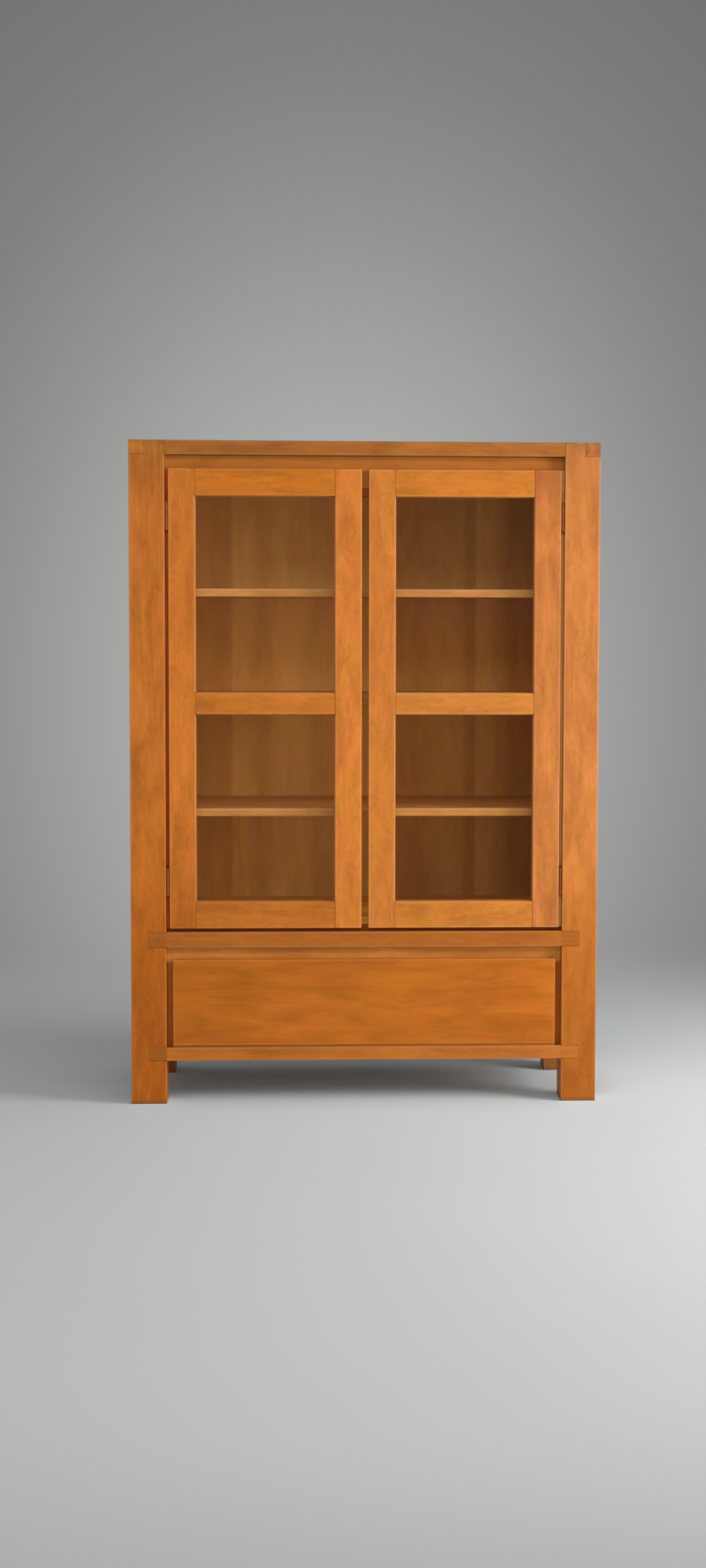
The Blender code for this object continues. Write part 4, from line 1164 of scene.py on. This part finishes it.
class CABINET_OT_fit_gap_strips(CabinetOperator):
    """Close the gaps beside the doors and the drawer with strips on the posts"""

    bl_idname = "cabinet.fit_gap_strips"
    bl_label = "Fit the gap strips"

    def execute(self, context):
        wood, fittings = context.scene.cabinet_wood, context.scene.cabinet_fittings
        stop, header_rear = (corner.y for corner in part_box("door_header"))
        height = (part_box("bottom_rail_front")[1].z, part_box("drawer_header")[0].z)
        for seed, (side, word) in enumerate(SIDES, DRAWER_STRIP_SEED):
            strip = self.strip(side, fittings.drawer_strip, (stop, header_rear), height)
            self.fit(f"drawer_gap_strip_{word}", [strip], seed, wood, fittings.drawer_strip_tint)
        low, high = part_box("drawer_front")
        foot = Vector((low.x, low.y + fittings.rest_back, height[0] + STRIP_GAP))
        top = Vector((high.x, high.y, low.z - fittings.rest_clearance))
        self.fit("drawer_rest_strip", [(foot, top)], REST_STRIP_SEED, wood, fittings.rest_tint)
        height = (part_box("cabinet_floor")[1].z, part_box("door_header")[0].z)
        shelf_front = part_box("shelf_middle")[0].y
        for seed, (side, word) in enumerate(SIDES, DOOR_STRIP_SEED):
            strips = [self.strip(side, fittings.door_strip, (stop, shelf_front), height)]
            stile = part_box(f"door_{word}_hinge_stile")
            post_face = abs(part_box(f"post_front_{word}")[0 if side > 0 else 1].x)
            width = post_face - max(abs(corner.x) for corner in stile) - fittings.lip_clearance
            lip = (stop - fittings.lip_depth, stop)
            for ends in self.between_hinges(word, stile[0].z, stile[1].z):
                strips.append(self.strip(side, width, lip, ends))
            # The tint paints shade in the left gap and a lit wall in the right gap.
            tint = getattr(fittings, f"{word}_strip_tint")
            self.fit(f"door_gap_strip_{word}", strips, seed, wood, tint)
        return {"FINISHED"}

    def between_hinges(self, word, foot, top):
        """The stretches of a door's height that no hinge takes up."""
        ends = [foot]
        for level in reversed(LEVELS):
            low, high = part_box(f"door_{word}_{level}_hinge_post_leaf")
            ends += [low.z - HINGE_CLEARANCE, high.z + HINGE_CLEARANCE]
        ends.append(top)
        return list(zip(ends[::2], ends[1::2]))

    def strip(self, side, width, depth, height):
        """The corners of a strip on a front post's inner face, a little clear of what it meets."""
        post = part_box("post_front_right")[0].x - STRIP_GAP
        x = sorted((side * (post + STRIP_GAP - width), side * post))
        low = Vector((x[0], depth[0], height[0] + STRIP_GAP))
        return low, Vector((x[1], depth[1] - STRIP_GAP, height[1] - STRIP_GAP))

    def fit(self, name, strips, seed, wood, tint):
        """Strips with round edges, as one piece of tinted wood."""
        colours = [np.multiply(colour, tint) for colour in (wood.light, wood.dark)]
        material = wood_material(name, strips[0], seed, colours, wood)
        shape = joined(*(rounded_box(*corners, STRIP_ROUND, STRIP_STEPS) for corners in strips))
        piece(name, shape, [material], "carcass")


class CABINET_OT_fit_hinges(CabinetOperator):
    """Finish the hinges in dark bronze and screw their leaves on"""

    bl_idname = "cabinet.fit_hinges"
    bl_label = "Fit the hinges"

    def execute(self, context):
        fittings = context.scene.cabinet_fittings
        bronze = streaked_material("hinge_bronze", fittings.bronze)
        dress_slot("hinge_bronze", bronze)
        head = screw_head(fittings.screw_radius, fittings.screw_rise)
        for side, word in SIDES:
            for leaf, body, toward in (("post", "carcass", -side), ("door", f"door_{word}", side)):
                places = []
                for level in LEVELS:
                    places += self.screw_places(f"door_{word}_{level}_hinge_{leaf}_leaf", toward)
                shape = repeated(head, places, (toward, 0, 0))
                piece(f"hinge_screws_{word}_{leaf}", shape, [bronze], body)
        return {"FINISHED"}

    def screw_places(self, node, toward):
        """Three places up a leaf's free face, near its rear edge, behind the knuckles."""
        low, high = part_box(node)
        points = node_points(node)
        rear = points[points[:, 1] > points[:, 1].max() - LEAF_EDGE, 0]
        face = float(rear.max() if toward > 0 else rear.min())
        step = (high.z - low.z) * HINGE_SCREW_SPREAD
        return [(face, high.y - HINGE_SCREW_INSET, (low.z + high.z) / 2 + k * step) for k in (-1, 0, 1)]


class CABINET_OT_fit_catch(CabinetOperator):
    """Fit the double magnetic catch and the strike plates"""

    bl_idname = "cabinet.fit_catch"
    bl_label = "Fit the catch"

    def execute(self, context):
        fittings = context.scene.cabinet_fittings
        plastic = streaked_material("catch_plastic", fittings.plastic)
        steel = streaked_material("strike_steel", fittings.steel)
        dress_slot("strike_steel", steel)
        low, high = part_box("magnetic_catch")
        block = rounded_box(low, high, CATCH_ROUND, CATCH_STEPS)
        body = piece("catch_body", block, [plastic], "carcass")
        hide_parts("magnetic_catch")
        strikes = {word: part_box(f"door_{word}_strike") for _, word in SIDES}
        bars = [self.pole(strike, low.y, offset) for strike in strikes.values() for offset in POLE_OFFSETS]
        piece("catch_poles", joined(*bars), [steel], "carcass")
        head = screw_head(fittings.screw_radius, fittings.screw_rise)
        places = [(x, (low.y + high.y) / 2, low.z) for x in (low.x / 2, high.x / 2)]
        piece("catch_screws", repeated(head, places, (0, 0, -1)), [steel], "carcass")
        flat_head = screw_head(fittings.screw_radius, FLAT_SCREW_RISE)
        for word, (strike_low, strike_high) in strikes.items():
            middle = (strike_low + strike_high) / 2
            shape = repeated(flat_head, [(middle.x, strike_high.y, middle.z)], (0, 1, 0))
            piece(f"strike_screw_{word}", shape, [steel], f"door_{word}")
        return {"FINISHED"}

    def pole(self, strike, face, offset):
        """A flat steel bar in the catch's face, opposite a strike."""
        low, high = strike
        z = (low.z + high.z) / 2 + offset
        foot = (low.x + POLE_MARGIN, face - POLE_PROUD, z - POLE_HALF)
        top = (high.x - POLE_MARGIN, face + POLE_DEPTH, z + POLE_HALF)
        return rounded_box(foot, top, POLE_ROUND, POLE_STEPS)


class CABINET_OT_fit_bumpers(CabinetOperator):
    """Put soft bumpers where the doors and the drawer front close"""

    bl_idname = "cabinet.fit_bumpers"
    bl_label = "Fit the bumpers"

    def execute(self, context):
        fittings = context.scene.cabinet_fittings
        felt = streaked_material("bumper_felt", fittings.felt_colour)
        radius, rise = fittings.bumper_radius, fittings.bumper_rise
        t = quarter_steps(BUMPER_STEPS)
        reach = BUMPER_CROWN + (1 - BUMPER_CROWN) * np.cos(t)
        dome = np.stack([radius * reach, rise * np.sin(t)], -1)
        profile = np.concatenate([[(0, -BUMPER_SINK), (radius, -BUMPER_SINK)], dome, [(0, rise)]])
        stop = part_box("door_header")[0].y
        door_low, door_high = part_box("door_right_hinge_stile")
        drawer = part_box("drawer_front")[1]
        floor_low, floor_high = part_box("cabinet_floor")
        door_spots = (door_low.x + DOOR_BUMPER_INSET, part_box("door_right_meeting_stile")[1].x)
        rows = (
            (door_high.z - DOOR_BUMPER_DROP, door_spots),
            ((floor_low.z + floor_high.z) / 2, door_spots),
            (drawer.z - DRAWER_BUMPER_DROP, (drawer.x - DRAWER_BUMPER_INSET,)),
        )
        places = [(side * x, stop, z) for z, spots in rows for x in spots for side, _ in SIDES]
        shape = repeated(turned(profile, BUMPER_SIDES), places, (0, -1, 0))
        piece("stop_bumpers", shape, [felt], "carcass")
        return {"FINISHED"}


class CABINET_OT_fit_shelf_sleeves(CabinetOperator):
    """Sleeve the shelf pins in steel"""

    bl_idname = "cabinet.fit_shelf_sleeves"
    bl_label = "Fit the shelf sleeves"

    def execute(self, context):
        fittings = context.scene.cabinet_fittings
        steel = streaked_material("sleeve_steel", fittings.steel)
        post_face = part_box("post_front_right")[0].x
        for shelf in ("shelf_lower", "shelf_upper"):
            points = node_points(shelf)
            pins = points[points[:, 2] < points[:, 2].max() - SHELF_THICK - PIN_SINK]
            low, high = pins.min(0), pins.max(0)
            radius = (high[2] - low[2]) / 2 + fittings.sleeve_wall
            z = (low[2] + high[2]) / 2
            inner = min(abs(pins[:, 0]))
            rows = sorted({round(float(y), ROW_DIGITS) for y in (low[1] + radius, high[1] - radius)})
            sleeve = turned(self.profile(radius, post_face - inner), SLEEVE_SIDES)
            shapes = [
                repeated(sleeve, [(side * inner, y, z) for y in rows], (side, 0, 0)) for side, _ in SIDES
            ]
            piece(f"{shelf}_sleeves", joined(*shapes), [steel], "carcass")
        return {"FINISHED"}

    def profile(self, radius, length):
        """A sleeve with a rounded end, and a collar where it meets the post."""
        collar, round_end = SLEEVE_COLLAR * radius, SLEEVE_ROUND * radius
        slope_start, slope_end = (length - step for step in COLLAR_SLOPE)
        return (
            (0, -SLEEVE_GAP),
            (radius - round_end, -SLEEVE_GAP),
            (radius, round_end),
            (radius, slope_start),
            (collar, slope_end),
            (collar, length - SLEEVE_GAP),
            (0, length - SLEEVE_GAP),
        )


class CABINET_OT_set_stage(CabinetOperator):
    """Set the pale floor, the backdrop's light, two softboxes and the camera"""

    bl_idname = "cabinet.set_stage"
    bl_label = "Set the stage"

    def execute(self, context):
        studio, scene = context.scene.cabinet_studio, context.scene
        self.floor(studio)
        self.backdrop(scene, studio)
        self.softbox("key_softbox", *KEY_SOFTBOX, studio.key_power)
        self.softbox("front_softbox", *FRONT_SOFTBOX, studio.front_power)
        self.camera(scene, studio)
        scene.view_settings.view_transform = "Standard"
        return {"FINISHED"}

    def floor(self, studio):
        """A disc of rings whose radius grows as a square, and a point in the middle."""
        radius = FLOOR_RADIUS * np.linspace(FLOOR_START, 1, FLOOR_RINGS)[:, None] ** 2
        rings = circles(radius, 0, FLOOR_SIDES)
        points = np.concatenate([rings.reshape(-1, 3), [[0, 0, 0]]])
        quads = grid_quads(FLOOR_RINGS, FLOOR_SIDES)[:, ::-1]
        middle = fan(len(points) - 1, 0, FLOOR_SIDES)
        new_object("studio_floor", (points, [quads, middle]), [self.floor_material(studio)])

    def floor_material(self, studio):
        """Pale floor near the cabinet, shaded under the key softbox, that fades into the backdrop."""
        material, n, shader = new_material("studio_floor")
        place = n.position()
        cloud = n.noise(n.moved(place, scale=FLOOR_CLOUDS))
        pale = (opaque(studio.floor_colour, share) for share in (1 - FLOOR_SWING, 1 + FLOOR_SWING))
        under_key = n.vector("LENGTH", n.vector("SUBTRACT", place, (*KEY_SOFTBOX[0][:2], 0)))
        shade = n.between(under_key, *KEY_SHADE_REACH, KEY_SHADE, 1.0)
        inputs = {
            "Base Color": n.vector("MULTIPLY", n.blend(cloud, *pale), shade),
            "Roughness": FLOOR_ROUGHNESS,
            "Specular IOR Level": FLOOR_SPECULAR,
        }
        n.feed(shader, inputs)
        seen = n.vector("NORMALIZE", n.vector("SUBTRACT", place, Vector(studio.eye)))
        backdrop = backdrop_light(n, seen, studio)
        far_light = n.blend(n.ray("Is Camera Ray"), opaque(studio.room), backdrop)
        far = n.between(n.vector("LENGTH", n.moved(place, location=FLOOR_OFFSET)), *FLOOR_FADE)
        n.mixed_surface(far, shader, n.node("ShaderNodeEmission", {"Color": far_light}))
        return material

    def backdrop(self, scene, studio):
        """A grey backdrop with a soft glow, in a room that is lighter in front of the cabinet."""
        world = bpy.data.worlds.new("studio_backdrop")
        world.use_nodes = True
        n = Nodes(world.node_tree)
        way = n.node("ShaderNodeTexCoord").outputs["Generated"]
        lean = n.between(n.parts(way)["Y"], -1.0, 1.0, 1 + studio.lean, 1 - studio.lean, smooth=False)
        room = n.vector("MULTIPLY", tuple(studio.room), lean)
        light = n.blend(n.ray("Is Camera Ray"), room, backdrop_light(n, way, studio))
        n.feed(world.node_tree.nodes["Background"], {"Color": light})
        scene.world = world

    def softbox(self, name, place, target, size, power):
        """A lamp of a width and height, turned to a target."""
        lamp = bpy.data.lights.new(name, "AREA")
        lamp.shape, lamp.energy = "RECTANGLE", power
        lamp.size, lamp.size_y = size
        obj = bpy.data.objects.new(name, lamp)
        obj.location = place
        obj.rotation_euler = (Vector(target) - Vector(place)).to_track_quat("-Z", "Y").to_euler()
        bpy.context.scene.collection.objects.link(obj)

    def camera(self, scene, studio):
        """The photographer's place: turned by yaw, tilted down, then rolled."""
        lens = bpy.data.cameras.new("photo_camera")
        lens.sensor_width, lens.sensor_fit = SENSOR, "AUTO"
        lens.lens = studio.focal / FRAME_SIDE * SENSOR
        lens.shift_x = studio.lens_shift
        obj = bpy.data.objects.new("photo_camera", lens)
        yaw, tilt, roll = studio.yaw, studio.tilt, studio.roll
        ahead = Vector((math.sin(yaw) * math.cos(tilt), math.cos(yaw) * math.cos(tilt), -math.sin(tilt)))
        level = Vector((math.cos(yaw), -math.sin(yaw), 0))
        upright = level.cross(ahead)
        right = level * math.cos(roll) + upright * math.sin(roll)
        above = upright * math.cos(roll) - level * math.sin(roll)
        turn = Matrix((right, above, -ahead)).transposed().to_4x4()
        obj.matrix_world = Matrix.Translation(Vector(studio.eye)) @ turn
        scene.collection.objects.link(obj)
        scene.camera = obj


class CABINET_PT_dressing(bpy.types.Panel):
    """Sizes, colours and steps of the dressing"""

    bl_idname = "CABINET_PT_dressing"
    bl_label = "Display cabinet"
    bl_space_type = "VIEW_3D"
    bl_region_type = "UI"
    bl_category = "Cabinet"

    def draw(self, context):
        for operator in OPERATORS:
            self.layout.operator(operator.bl_idname)
        for key, group in GROUPS.items():
            box = self.layout.box()
            settings = getattr(context.scene, key)
            for name in group.__annotations__:
                box.prop(settings, name)


GROUPS = {
    "cabinet_wood": CabinetWood,
    "cabinet_tones": CabinetTones,
    "cabinet_fittings": CabinetFittings,
    "cabinet_studio": CabinetStudio,
}
OPERATORS = (
    CABINET_OT_set_stage,
    CABINET_OT_finish_wood,
    CABINET_OT_finish_drawer_box,
    CABINET_OT_glaze_doors,
    CABINET_OT_fit_gap_strips,
    CABINET_OT_fit_hinges,
    CABINET_OT_fit_catch,
    CABINET_OT_fit_bumpers,
    CABINET_OT_fit_shelf_sleeves,
)


def register():
    for group in (*GROUPS.values(), *OPERATORS, CABINET_PT_dressing):
        bpy.utils.register_class(group)
    for key, group in GROUPS.items():
        setattr(bpy.types.Scene, key, PointerProperty(type=group))


def unregister():
    for key in GROUPS:
        delattr(bpy.types.Scene, key)
    for group in reversed((*GROUPS.values(), *OPERATORS, CABINET_PT_dressing)):
        bpy.utils.unregister_class(group)


def main():
    """Dress the cabinet."""
    register()
    for operator in OPERATORS:
        area, step = operator.bl_idname.split(".")
        getattr(getattr(bpy.ops, area), step)()


if __name__ == "__main__":
    main()
